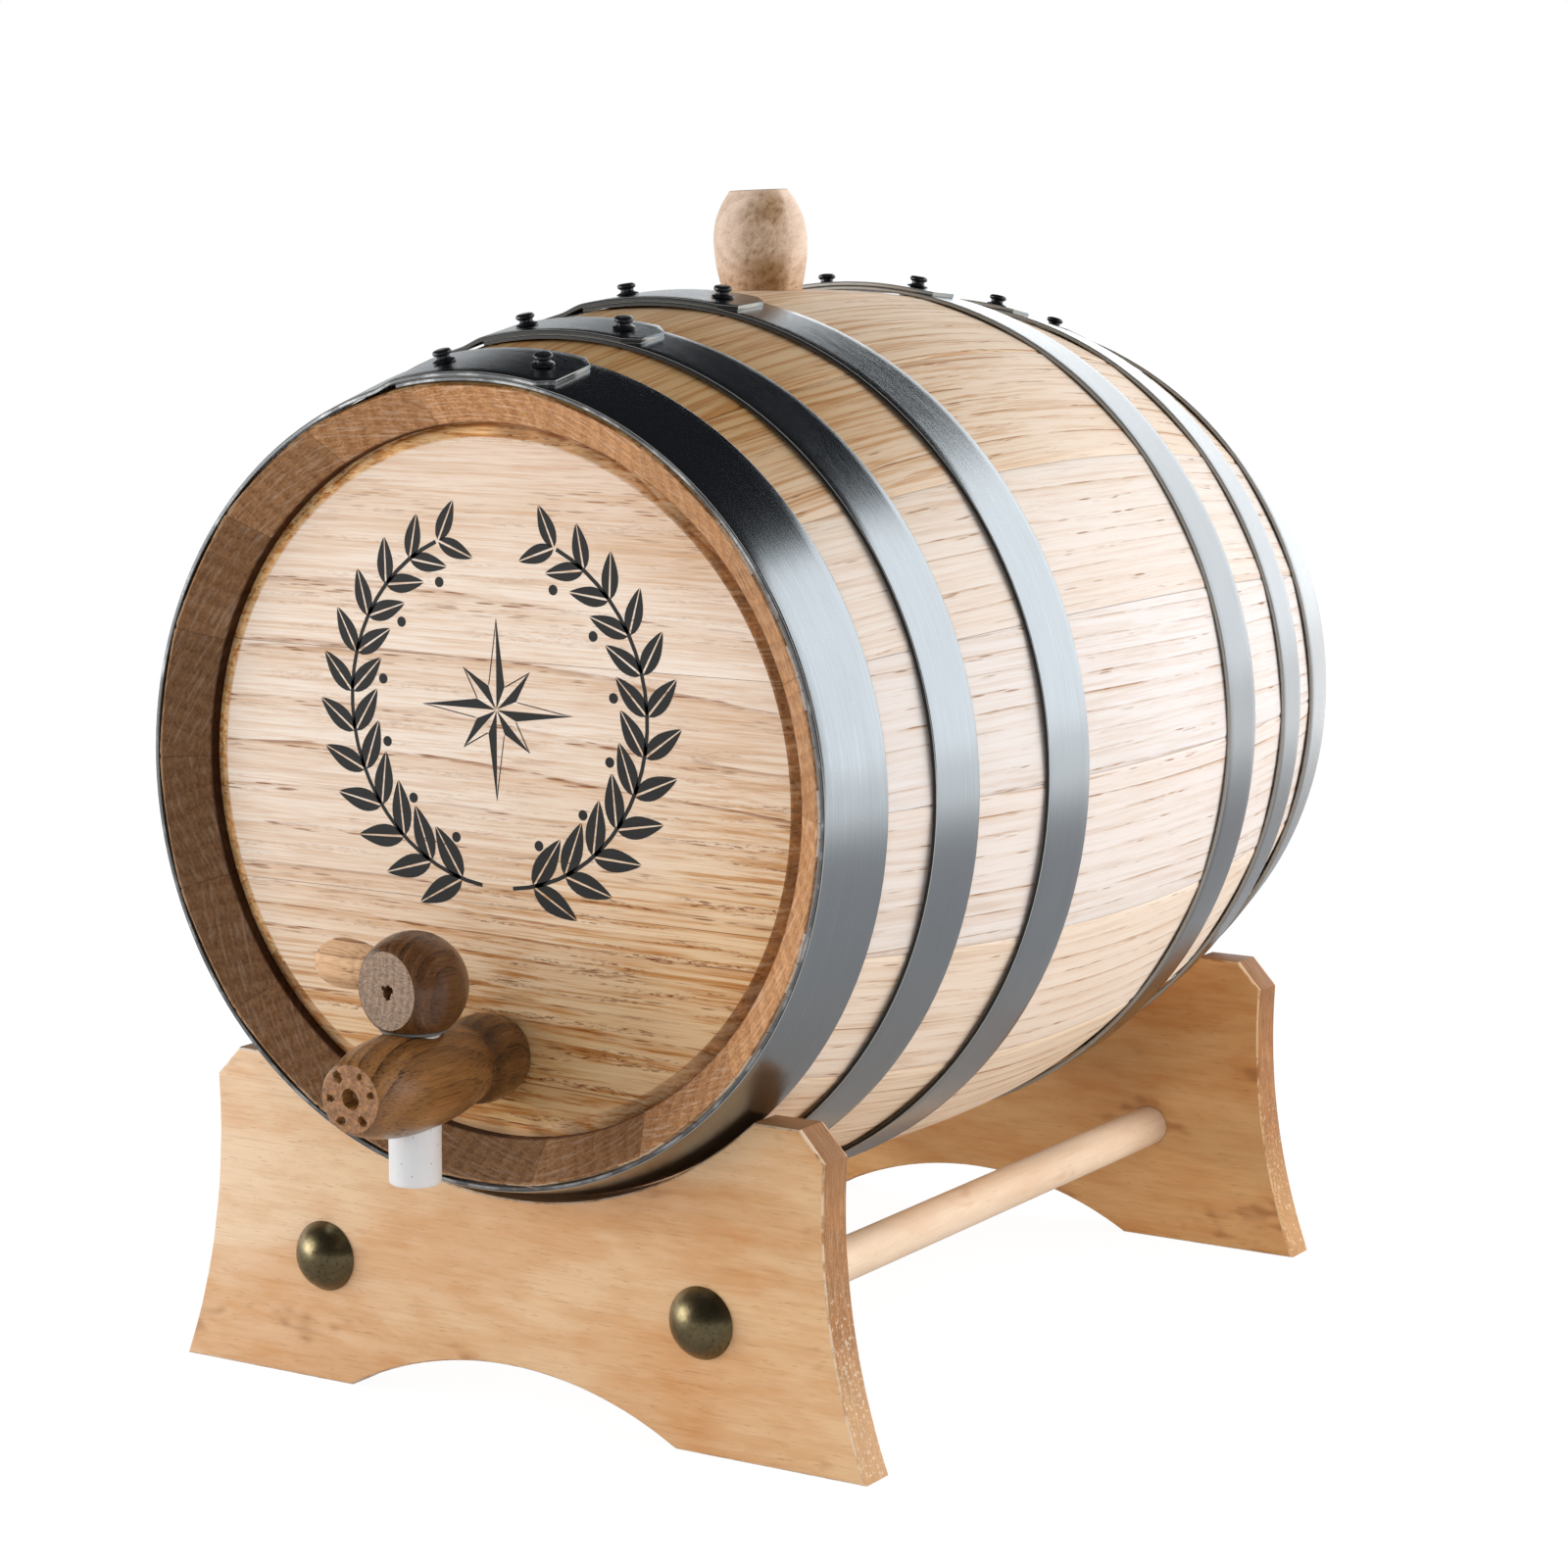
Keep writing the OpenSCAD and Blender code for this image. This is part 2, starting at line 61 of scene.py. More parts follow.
# ---- Staves ----
# Eighteen bent oak staves, planed outside, with a bevel and a groove turned into both ends.
# Only the hoops hold them together. The top one has the bung hole bored through it.
# Each is sawn from another plank, so the grain and the tone change from stave to stave. Painted
# shade and painted light are laid into the tones as well.
mm = 0.001
cask_half, cask_y, axis_z = 124.0, 22.05, 142.8
bilge_r, chime_r, stave_t = 103.6, 87.0, 11.6
stave_count, stave_gap, stave_crown, stave_ease, stave_arris = 18, 0.1, 0.45, 0.35, 0.35
chime_land, chime_depth, lip_w = 1.0, 7.7, 2.6
head_rim_t, croze_depth, seat_gap = 4.0, 2.8, 0.1
bung_hole_r, bung_lean, bung_at = 9.6, radians(3), 2.0


def stave_out(a):
    return bilge_r - (bilge_r - chime_r) * (a / cask_half) ** 2


lip_a = cask_half - chime_depth - lip_w
lip_r = stave_out(lip_a) - stave_t
croze_a, croze_r = lip_a - head_rim_t - 2 * seat_gap, lip_r + croze_depth


def on_cask(x, up, front):
    """A point given from the middle of the cask, in mm, as a place in the scene."""
    return Vector((x * mm, (cask_y - front) * mm, (axis_z + up) * mm))


def from_cask(p):
    return p.x / mm, p.z / mm - axis_z, cask_y - p.y / mm


def on_bung(x, y, h):
    """A point on the bung's leaning axis, h from the cask's axis, in mm."""
    c, s = cos(bung_lean), sin(bung_lean)
    return on_cask(x * c - h * s, x * s + h * c, -bung_at - y)


def soften(bm, sharp=32):
    """Shades a mesh smooth, apart from where its faces meet at more than sharp degrees."""
    for face in bm.faces:
        face.smooth = True
    for edge in bm.edges:
        edge.smooth = edge.calc_face_angle(0) < radians(sharp)


def form(name, bm, body, nodes, sharp=32):
    """Turns a mesh in progress into a piece that rides on a body and stands for CAD nodes."""
    bmesh.ops.recalc_face_normals(bm, faces=bm.faces)
    soften(bm, sharp)
    mesh = bpy.data.meshes.new(name)
    bm.to_mesh(mesh)
    bm.free()
    piece = placed(name, mesh)
    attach(piece, body)
    if nodes:
        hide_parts(*nodes)
    return piece


def sweep(rings, bm=None):
    """Joins rings of points one after another into a closed skin, with a cap on each end.
    It is added to the mesh in progress, if one is given."""
    bm = bmesh.new() if bm is None else bm
    rows = [[bm.verts.new(p) for p in ring] for ring in rings]
    for a, b in zip(rows, rows[1:]):
        for i in range(len(a)):
            k = (i + 1) % len(a)
            bm.faces.new((a[i], a[k], b[k], b[i]))
    bm.faces.new(rows[0])
    bm.faces.new(rows[-1])
    return bm


def bore(piece, centre, axis, radius, length, steps=64):
    """Drills a round hole through a piece, with a drill that starts at centre."""
    turn = Vector(axis).normalized().to_track_quat("Z", "Y").to_matrix()
    circle = [2 * pi * i / steps for i in range(steps)]
    ends = [[Vector(centre) + turn @ Vector((radius * mm * cos(t), radius * mm * sin(t), h * mm))
             for t in circle] for h in (0, length)]
    drill = placed("drill", bpy.data.meshes.new("drill"))
    bm = sweep(ends)
    bmesh.ops.recalc_face_normals(bm, faces=bm.faces)
    bm.to_mesh(drill.data)
    bm.free()
    cut = piece.modifiers.new("hole", "BOOLEAN")
    cut.operation, cut.solver, cut.object = "DIFFERENCE", "EXACT", drill
    bpy.context.view_layer.update()
    done = bpy.data.meshes.new_from_object(piece.evaluated_get(bpy.context.evaluated_depsgraph_get()))
    piece.modifiers.clear()
    bpy.data.objects.remove(drill)
    bm = bmesh.new()
    bm.from_mesh(done)
    soften(bm)
    bm.to_mesh(piece.data)
    bm.free()
    bpy.data.meshes.remove(done)


def saw(piece, wood, place, lean, pith, start, tone, end_face):
    """Gives a piece its wood and lays it in the tree: place gives each point's depth, width and length.
    The tone is one colour for the piece, or a function of the point."""
    mesh = piece.data
    mesh.attributes.new("tree", "FLOAT_VECTOR", "POINT")
    mesh.attributes.new("tone", "FLOAT_VECTOR", "POINT")
    mesh.attributes.new("end", "FLOAT", "FACE")
    tree, tint, end = (mesh.attributes[layer] for layer in ("tree", "tone", "end"))
    c, s = cos(radians(lean)), sin(radians(lean))
    for v in mesh.vertices:
        x, y, z = place(v.co)
        tree.data[v.index].vector = (x * c - y * s + pith, x * s + y * c, z + start)
        tint.data[v.index].vector = tone(v.co) if callable(tone) else tone
    for face in mesh.polygons:
        end.data[face.index].value = end_face(face.center, face.normal)
    mesh.materials.append(wood)


class Link:
    """One socket of a finish, so that what is done to it can be written as a sum."""

    def __init__(self, tree, socket=None):
        self.tree, self.socket = tree, socket

    def node(self, kind, settings={}, sockets={}, out=0):
        made = self.tree.nodes.new("ShaderNode" + kind)
        for key, value in settings.items():
            setattr(made, key, value)
        for key, value in sockets.items():
            if isinstance(value, Link):
                self.tree.links.new(value.socket, made.inputs[key])
            else:
                made.inputs[key].default_value = value
        return Link(self.tree, made.outputs[out] if len(made.outputs) else None)

    def sum(self, operation, *values):
        return self.node("Math", {"operation": operation}, dict(enumerate(values)))

    def __add__(self, other):
        return self.sum("ADD", self, other)

    def __sub__(self, other):
        return self.sum("SUBTRACT", self, other)

    def __rsub__(self, other):
        return self.sum("SUBTRACT", other, self)

    def __mul__(self, other):
        return self.sum("MULTIPLY", self, other)

    def __truediv__(self, other):
        return self.sum("DIVIDE", self, other)

    __radd__, __rmul__ = __add__, __mul__

    def step(self, low, high):
        """0 below low, 1 above high and a soft rise between; the other way round if low > high."""
        return self.node("MapRange", {"interpolation_type": "SMOOTHSTEP"},
                         {"Value": self, "From Min": low, "From Max": high})

    def over(self, below, above):
        """The colour above laid on the colour below, where this mask is 1."""
        return self.node("Mix", {"data_type": "RGBA"}, {0: self, 6: below, 7: above}, 2)

    def times(self, colour):
        """This colour multiplied by another."""
        return self.node("Mix", {"data_type": "RGBA", "blend_type": "MULTIPLY"},
                         {0: 1.0, 6: self, 7: colour}, 2)

    def layer(self, name, out):
        """What the mesh holds under a name: a colour (out 0), a vector (1) or a number (2)."""
        return self.node("Attribute", {"attribute_name": name}, out=out)

    def place(self):
        """Where the point lies on its piece, in mm."""
        return self.node("TexCoord", out=3).scaled(1000, 1000, 1000)

    def scaled(self, x, y, z):
        return self.node("VectorMath", {"operation": "MULTIPLY"}, {0: self, 1: (x, y, z)})

    def axes(self):
        split = self.node("SeparateXYZ", {}, {0: self}).socket.node
        return [Link(self.tree, socket) for socket in split.outputs]

    def cloud(self, detail=2.0, rough=0.5):
        return self.node("TexNoise", {}, {"Vector": self, "Scale": 1, "Detail": detail,
                                          "Roughness": rough})

    def cells(self):
        return self.node("TexVoronoi", {"feature": "F1"}, {"Vector": self, "Scale": 1})

    def surface(self, rough, relief, strength, others={}, deep=0.0002):
        """Ends a finish: this is its colour, relief its bump, up to deep in metres."""
        normal = relief.node("Bump", {}, {"Strength": strength, "Distance": deep, "Height": relief})
        shader = self.node("BsdfPrincipled", {}, {"Base Color": self, "Roughness": rough,
                                                  "Normal": normal, **others})
        shader.node("OutputMaterial", {}, {"Surface": shader})


def blank(made):
    """Empties a new material or world, and gives the first link to build it from."""
    made.use_nodes = True
    made.node_tree.nodes.clear()
    return Link(made.node_tree)


def rgb(r, g, b):
    """A colour as it is read off a screen, 0 to 255, made linear for a shader."""
    return (*[(v / 255 / 12.92) if v < 10.3 else ((v / 255 + 0.055) / 1.055) ** 2.4 for v in (r, g, b)], 1)


def oak(name, pale, late, pore, cut, cut_dark, ring_w=4.2, line=1.0, pores=1.0, gloss=0.58, coat=0.0,
        figure=0.6, bands=1.0, fuzz=1.0, streak=0.0, torn=0.0, swirl=0.0):
    """Solid oak: year rings round the pith, broken rows of pores along them, rays across them."""
    made = bpy.data.materials.new(name)
    wood = blank(made)
    at, tone, end = wood.layer("tree", 1), wood.layer("tone", 0), wood.layer("end", 2)
    x, y, _ = at.axes()
    bend = at.scaled(0.012, 0.012, 0.003).cloud(1.0)
    wave = at.scaled(0.1, 0.1, 0.011).cloud(2.0)
    depth = (x * x + y * y).sum("SQRT", x * x + y * y) + bend * (14 * figure) + wave * (1.8 * figure)
    # Streaks and torn grain are stronger where the tone is yellower, which includes painted shade.
    rich = 0.3 + 0.7 * (1.0 - tone.axes()[2]).step(0.02, 0.5)
    flow = at.node("VectorMath", {"operation": "ADD"}, {0: at, 1: bend * (22 * figure) + wave * 3.0})
    drawn = flow.scaled(0.72, 0.72, 0.013).cloud(4.0, 0.7)
    shreds = (flow.scaled(0.5, 0.5, 0.022).cloud(2.0, 0.6).step(0.54, 0.64)
              * at.scaled(2.6, 2.6, 0.42).cloud(3.0, 0.7).step(0.46, 0.66))
    year = depth / ring_w
    part = year.sum("FRACT", year)
    age = year.node("TexWhiteNoise", {"noise_dimensions": "1D"}, {"W": year.sum("FLOOR", year)})
    soft = part.step(0.0, 0.1) * part.step(0.8, 0.2)
    thin = part.step(0.0, 0.02) * part.step(0.13, 0.05)
    broken = at.scaled(0.4, 0.4, 0.035).cloud(3.0, 0.65).step(0.42, 0.58)
    row = thin * (0.15 + 0.85 * age) * (0.08 + 0.92 * broken)
    cells = at.scaled(1.7, 1.7, 0.11).cells()
    patchy = at.scaled(0.5, 0.5, 0.06).cloud(2.0, 0.6).step(0.53 - 0.08 * pores, 0.69 - 0.08 * pores)
    dash = cells.step(0.4, 0.2) * part.step(0.42, 0.08) * patchy
    fibre = at.scaled(2.6, 2.6, 0.05).cloud(3.0, 0.7)
    drift = at.scaled(0.05, 0.05, 0.011).cloud(3.0)
    bearing = y.sum("ARCTAN2", y, x)
    fan = at.node("CombineXYZ", {}, {0: bearing * 120, 1: depth * 0.1, 2: end * 3})
    ray = fan.cloud(2.0, 0.6).step(0.5, 0.66)
    long_face = (soft * (bands * (0.06 + 0.2 * age))
                 + (fibre.step(0.4, 0.75) * 0.42 + drift.step(0.45, 0.75) * 0.2) * fuzz).over(pale, late)
    long_face = (drawn.step(0.45, 0.62) * rich * streak).over(long_face, late)
    long_face = (drawn.step(0.58, 0.68) * rich * (0.4 * streak)).over(long_face, pore)
    long_face = (part.step(0.5, 0.6) * part.step(0.76, 0.66) * broken * swirl).over(long_face, cut)
    stained = part.step(0.0, 0.03) * part.step(0.26, 0.1) * age * broken
    long_face = (stained * (0.34 * line)).over(long_face, late)
    long_face = (row * (0.62 * line)).over(long_face, pore)
    long_face = (shreds * rich * torn).over(long_face, pore)
    long_face = (dash * 0.78).over(long_face, pore)
    grit = at.scaled(1.1, 1.1, 1.1).cloud(4.0, 0.7)
    weave = at.scaled(0.35, 2.2, 0.5).cloud(3.0, 0.6).step(0.4, 0.62)
    end_face = (soft * 0.16 + grit.step(0.35, 0.65) * 0.45 + weave * 0.22).over(cut, cut_dark)
    end_face = (cells.step(0.5, 0.2) * part.step(0.75, 0.1) * 0.4).over(end_face, pore)
    end_face = (ray * 0.22).over(end_face, pale)
    relief = fibre * 0.4 - dash * 0.9 - row * 0.4 - shreds * rich * (0.5 * torn) + end * grit * 1.6
    end.over(long_face, end_face).times(tone).surface(
        gloss + dash * 0.25 - fibre * 0.08, relief, 0.55,
        {"Specular IOR Level": 0.35 if coat else 0.16, "Coat Weight": coat, "Coat Roughness": 0.35}, 0.00022)
    return made


stave_oak = oak("stave_oak", pale=rgb(240, 227, 213), late=rgb(204, 158, 106), pore=rgb(150, 94, 24),
                cut=rgb(192, 148, 108), cut_dark=rgb(116, 76, 44), line=1.25, bands=0.34, fuzz=0.36,
                streak=0.74, torn=0.15, pores=0.7, figure=0.8)

# Tones of the staves' faces and of their cut ends, from the top one round over the left side.
# The faces differ at random, and the staves on the right, where the lamp falls on the belly, are
# painted paler and bluer as painted light.
stave_tone_and_light = [(0.95, 0.89, 0.8), (0.9, 0.85, 0.76), (0.86, 0.8, 0.7), (0.92, 0.88, 0.8),
              (0.9, 0.84, 0.74), (0.95, 0.92, 0.84), (0.9, 0.86, 0.78), (0.94, 0.88, 0.78),
              (0.9, 0.84, 0.74), (0.92, 0.86, 0.76), (1.0, 0.92, 0.8), (1.05, 0.98, 0.88),
              (1.04, 1.0, 0.97), (0.99, 1.03, 1.13), (0.96, 1.03, 1.17), (0.96, 0.99, 1.06),
              (0.97, 0.94, 0.91), (0.94, 0.89, 0.82)]
# Cut ends: painted darker round the left and the bottom and paler at the top and right, partly the staves'
# own tone and partly painted shade and light.
end_tone_and_shade = [1.45, 1.18, 0.88, 0.62, 0.5, 0.48, 0.52, 0.56, 0.58, 0.52, 0.74, 1.2, 1.38, 1.3, 1.15, 1.12,
            1.22, 1.4]


def clamp(v):
    return min(1.0, max(0.0, v))


def ease(t):
    return t * t * (3 - 2 * t)


# How far above level, in degrees, the painted shade on the upper staves begins and is full
top_shade_from, top_shade_to = 26, 60
dice = random.Random(41)
for i in range(stave_count):
    turn = 2 * pi / stave_count
    middle = pi / 2 + i * turn
    half = turn / 2 - stave_gap / bilge_r / 2
    spots = [-1, -0.985, -0.94, -0.8, -0.55, -0.28, 0, 0.28, 0.55, 0.8, 0.94, 0.985, 1]
    bend = [(cask_half - stave_arris) * (s / 22 - 1) for s in range(45)]
    rows = []
    for t in spots:
        drop = stave_crown * (1 - t * t) + stave_ease * max(0, (abs(t) - 0.94) / 0.06) ** 2
        outer = [(stave_out(a) - drop, a) for a in bend]
        outer = ([(outer[0][0] - stave_arris, -cask_half)] + outer
                 + [(outer[-1][0] - stave_arris, cask_half)])
        upper = [(chime_r - chime_land, cask_half), (lip_r + 0.4, cask_half - chime_depth + 0.4),
                 (lip_r, cask_half - chime_depth), (lip_r, lip_a), (croze_r, lip_a), (croze_r, croze_a)]
        inner = [(stave_out(a) - stave_t, a) for a in [croze_a - s * 2 * croze_a / 16 for s in range(17)]]
        ring = outer + upper + inner + [(r, -a) for r, a in reversed(upper)]
        way = middle + t * half
        rows.append([on_cask(r * cos(way), r * sin(way), a) for r, a in ring])
    stave = form("stave_%d_oak" % (i + 1), sweep(rows), "cask", ["stave_%d" % (i + 1)])
    if i == 0:
        bore(stave, on_bung(0, 0, bilge_r - stave_t - 2), (-sin(bung_lean), 0, cos(bung_lean)),
             bung_hole_r, stave_t + 4)

    def in_stave(p, middle=middle):
        x, up, a = from_cask(p)
        r = hypot(x, up)
        off = (atan2(up, x) - middle + pi) % (2 * pi) - pi
        return r - stave_out(a), off * r, a

    def stave_end(p, n):
        x, up, a = from_cask(p)
        r = hypot(x, up)
        return 1.0 if abs(a) > lip_a - 6 and r < stave_out(a) - 0.5 and abs(a) > croze_a - 1 else 0.0

    def tone(p, i=i):
        x, up, a = from_cask(p)
        r, out = hypot(x, up), abs(a)
        if out < croze_a - 1 or r > stave_out(a) - 0.8:
            # Painted shade: the staves are painted darker and more golden towards the top and towards the
            # front end.
            high = clamp((degrees(atan2(up, abs(x))) - top_shade_from) / (top_shade_to - top_shade_from))
            front = clamp((a + 60) / 135)
            top_shade = (0.12 + 0.88 * ease(high)) * (0.08 + 0.92 * front * front)
            return tuple(c * (1 - top_shade * k) for c, k in zip(stave_tone_and_light[i], (0.47, 0.59, 0.76)))
        # Painted shade: the wall inside the lip, next to the head, is painted very dark, darkest on the left,
        # as the shade in the groove.
        if out < lip_a + lip_w + 0.2:
            return tuple(c * end_tone_and_shade[i] for c in ((0.2, 0.12, 0.08) if x < 0 else (0.42, 0.3, 0.24)))
        return tuple(c * end_tone_and_shade[i] for c in (1.0, 0.94, 0.86))

    saw(stave, stave_oak, in_stave, dice.uniform(68, 112), dice.uniform(55, 120), dice.uniform(0, 4000), tone,
        stave_end)

# ---- Heads ----
# Each head is three oak boards side by side, sawn to one disc and bevelled to a thin rim that
# is sprung into the staves' groove. The boards lie level, so their grain runs from side to side.
# The bevel is rasped across the grain, so it is rough and browner than the sanded face. On the
# upper left it is painted paler and golden as painted light, and the face is painted darker
# towards the bottom, towards the right and round the tap as painted shade.
head_boards, head_t, face_depth = 3, 11.0, 9.0
head_bevel_w, back_bevel_w = 3.0, 6.0
face_a, rim_a, head_r = cask_half - face_depth, lip_a - seat_gap, croze_r - seat_gap
bevel_from, bevel_painted_light_above = lip_r - head_bevel_w - 0.3, -45
tap_drop, tap_shank_r = 59.6, 7.5
board_w = 2 * head_r / head_boards

head_oak = oak("head_oak", pale=rgb(251, 236, 221), late=rgb(208, 156, 100), pore=rgb(136, 74, 22),
               cut=rgb(172, 118, 66), cut_dark=rgb(88, 52, 24), ring_w=3.3, line=1.2, pores=1.5, bands=0.9,
               figure=0.8, streak=0.95, torn=0.95)


def turned(outline, place, steps=96, bm=None):
    """A closed piece turned on a lathe, from (radius, height) points that start and end on its axis."""
    bm = bmesh.new() if bm is None else bm
    rows = []
    for r, h in outline:
        if r < 1e-6:
            rows.append([bm.verts.new(place(0, 0, h))])
        else:
            rows.append([bm.verts.new(place(r * cos(2 * pi * i / steps),
                                            r * sin(2 * pi * i / steps), h))
                         for i in range(steps)])
    for a, b in zip(rows, rows[1:]):
        for i in range(steps):
            k = (i + 1) % steps
            quad = [a[i % len(a)], a[k % len(a)], b[k % len(b)], b[i % len(b)]]
            quad = [v for j, v in enumerate(quad) if v not in quad[:j]]
            if len(quad) > 2:
                bm.faces.new(quad)
    return bm


def saw_off(bm, at, away):
    """Takes off what lies beyond a plane, and closes the cut."""
    cut = bmesh.ops.bisect_plane(bm, geom=bm.verts[:] + bm.edges[:] + bm.faces[:], dist=1e-7,
                                 plane_co=at, plane_no=away, clear_outer=True)
    rim = [e for e in cut["geom_cut"] if isinstance(e, bmesh.types.BMEdge) and e.is_boundary]
    if rim:
        bmesh.ops.holes_fill(bm, edges=rim)


head_outline = [(0, face_a), (30, face_a), (58, face_a), (lip_r - head_bevel_w - 0.5, face_a),
                (lip_r - head_bevel_w + 0.2, face_a - 0.15), (lip_r, rim_a), (head_r, rim_a),
                (head_r, rim_a - head_rim_t), (lip_r - seat_gap, rim_a - head_rim_t),
                (lip_r - back_bevel_w, face_a - head_t), (0, face_a - head_t)]

for end, side in (("front", 1), ("rear", -1)):
    for b in range(head_boards):
        bm = turned(head_outline, lambda x, y, h: on_cask(x, y, side * h), 144)
        low, high = -head_r + b * board_w, -head_r + (b + 1) * board_w
        for height, keep in ((low + 0.05, 1), (high - 0.05, -1)):
            saw_off(bm, on_cask(0, height, 0), (0, 0, -keep))
        name = "%s_head_board_%d" % (end, b + 1)
        board = form(name + "_oak", bm, "cask", [name], sharp=25)
        if side == 1 and abs(-tap_drop - (low + high) / 2) < board_w / 2 + tap_shank_r:
            bore(board, on_cask(0, -tap_drop, face_a - head_t - 1), (0, -1, 0),
                 tap_shank_r + seat_gap, head_t + 2)

        def head_end(p, n):
            x, up, a = from_cask(p)
            r = hypot(x, up)
            if r <= bevel_from or abs(a) >= face_a - 0.05:
                return 0.0
            # Painted light: on the upper left the bevel takes less of the end-grain colour, so it shows
            # paler.
            return (0.3 if x < 0 and up > bevel_painted_light_above else 0.9) * min(1.0, 1.5 * (abs(x) / r) ** 2)

        shade = dice.uniform(0.98, 1.0)

        def head_tone_light_and_shade(p):
            x, up, a = from_cask(p)
            r = hypot(x, up)
            if r > bevel_from:
                way = atan2(up, x)
                rough = 1 + 0.2 * sin(31 * way + 2.5 * sin(9 * way))
                # Painted light: the bevel on the upper left is painted paler and golden; elsewhere it is
                # brown.
                shown = (0.98, 0.78, 0.47) if x < 0 and up > bevel_painted_light_above else (0.76, 0.6, 0.4)
                return tuple(c * rough for c in shown)
            # Painted shade: the face darkens towards the bottom and the right, and a painted shadow lies
            # round and below the tap.
            t = ease(clamp((-up + x * 0.35 + 10) / 74))
            near = exp(-((x / 26) ** 2 + ((up + 66) / 20) ** 2)) * 0.25
            return tuple(shade * (1 - t * k - near) for k in (0.14, 0.3, 0.53))

        saw(board, head_oak, lambda p: (from_cask(p)[2], from_cask(p)[1], p.x / mm), dice.uniform(55, 78),
            dice.uniform(60, 110), dice.uniform(0, 4000), head_tone_light_and_shade, head_end)

# ---- Hoops ----
# Six hoops of thin blued steel strip, three at each end, driven on from the ends. Each strip is
# bent to a cone, climbs over its own start at the top and is riveted there. The strips were cut
# with shears, so both edges are bare and scuffed, and the rolling left fine lines along them.
# The scuffs are drawn on the chime hoops' outer edges; the other edge faces carry painted shade
# and painted highlight, and the rear hoops are painted darker as painted shade.
hoop_t, lap_half, lap_corner, joggle_len = 1.0, 20.0, 3.0, 7.0
hoops = {"chime_hoop_front": (cask_half - 9.2, 18.4), "quarter_hoop_front": (84.0, 14.7),
         "bilge_hoop_front": (44.1, 16.6), "bilge_hoop_rear": (-44.1, 16.6),
         "quarter_hoop_rear": (-84.0, 14.7), "chime_hoop_rear": (9.2 - cask_half, 18.4)}


def hoop_in(width, a):
    """Inside radius of a hoop of this width, at a place along the cask."""
    return stave_out(a) + (bilge_r - chime_r) * (width / 2 / cask_half) ** 2 + seat_gap


hoop_steel = bpy.data.materials.new("hoop_steel")
blued = blank(hoop_steel)
at, edge = blued.layer("strip", 1), blued.layer("edge", 2)
lines = at.scaled(0.03, 4.0, 1.0).cloud(3.0, 0.7)
stains = at.scaled(0.07, 0.12, 1.0).cloud(3.0, 0.6)
chips = at.scaled(0.11, 1.2, 1.0).cloud(4.0, 0.65)
rim = edge.step(0.0, 0.15)
worn = edge.step(0.6, 0.8) * (0.1 + 0.55 * chips.step(0.46, 0.66))
speck = at.scaled(0.4, 0.6, 1.0).cells().step(0.07, 0.03) * stains.step(0.46, 0.6)
scratch = at.scaled(0.012, 3.1, 1.0).cloud(2.0, 0.5).step(0.66, 0.72) * stains.step(0.6, 0.45)
steel_grey = rgb(157, 163, 167)
dull_grey = (*[c * 0.66 for c in steel_grey[:3]], 1)
skin = (lines.step(0.3, 0.8) * 0.3 + stains * 0.25).over(steel_grey, dull_grey)
# Painted shade and highlight on the strips' edge faces: near-black as the shadow of the gap under a front
# hoop's edge, pale as a painted highlight on the upper half of a rear hoop's edge. A chime hoop's outer edge
# is dark grey steel, scuffed bare.
rim_skin_shade_and_highlight = edge.step(0.5, 1.0).over(rgb(10, 10, 12), rgb(58, 61, 66))
rim_skin_shade_and_highlight = edge.step(0.48, 0.32).over(rim_skin_shade_and_highlight, rgb(196, 192, 182))
skin = (rim * 0.95).over(skin, rim_skin_shade_and_highlight)
skin = (worn + speck * 0.7 + scratch * 0.35).over(skin, rgb(196, 198, 200))
# Painted shade: the rear hoops are painted darker.
skin = (at.axes()[2].step(20.0, -20.0) * 0.36).over(skin, rgb(70, 71, 74))
skin.surface(0.12 + lines * 0.1 + stains * 0.06 + rim * 0.2, lines * 0.7 + stains * 0.25 - speck * 0.2,
             0.2, {"Metallic": 1.0 - rim * 0.55})

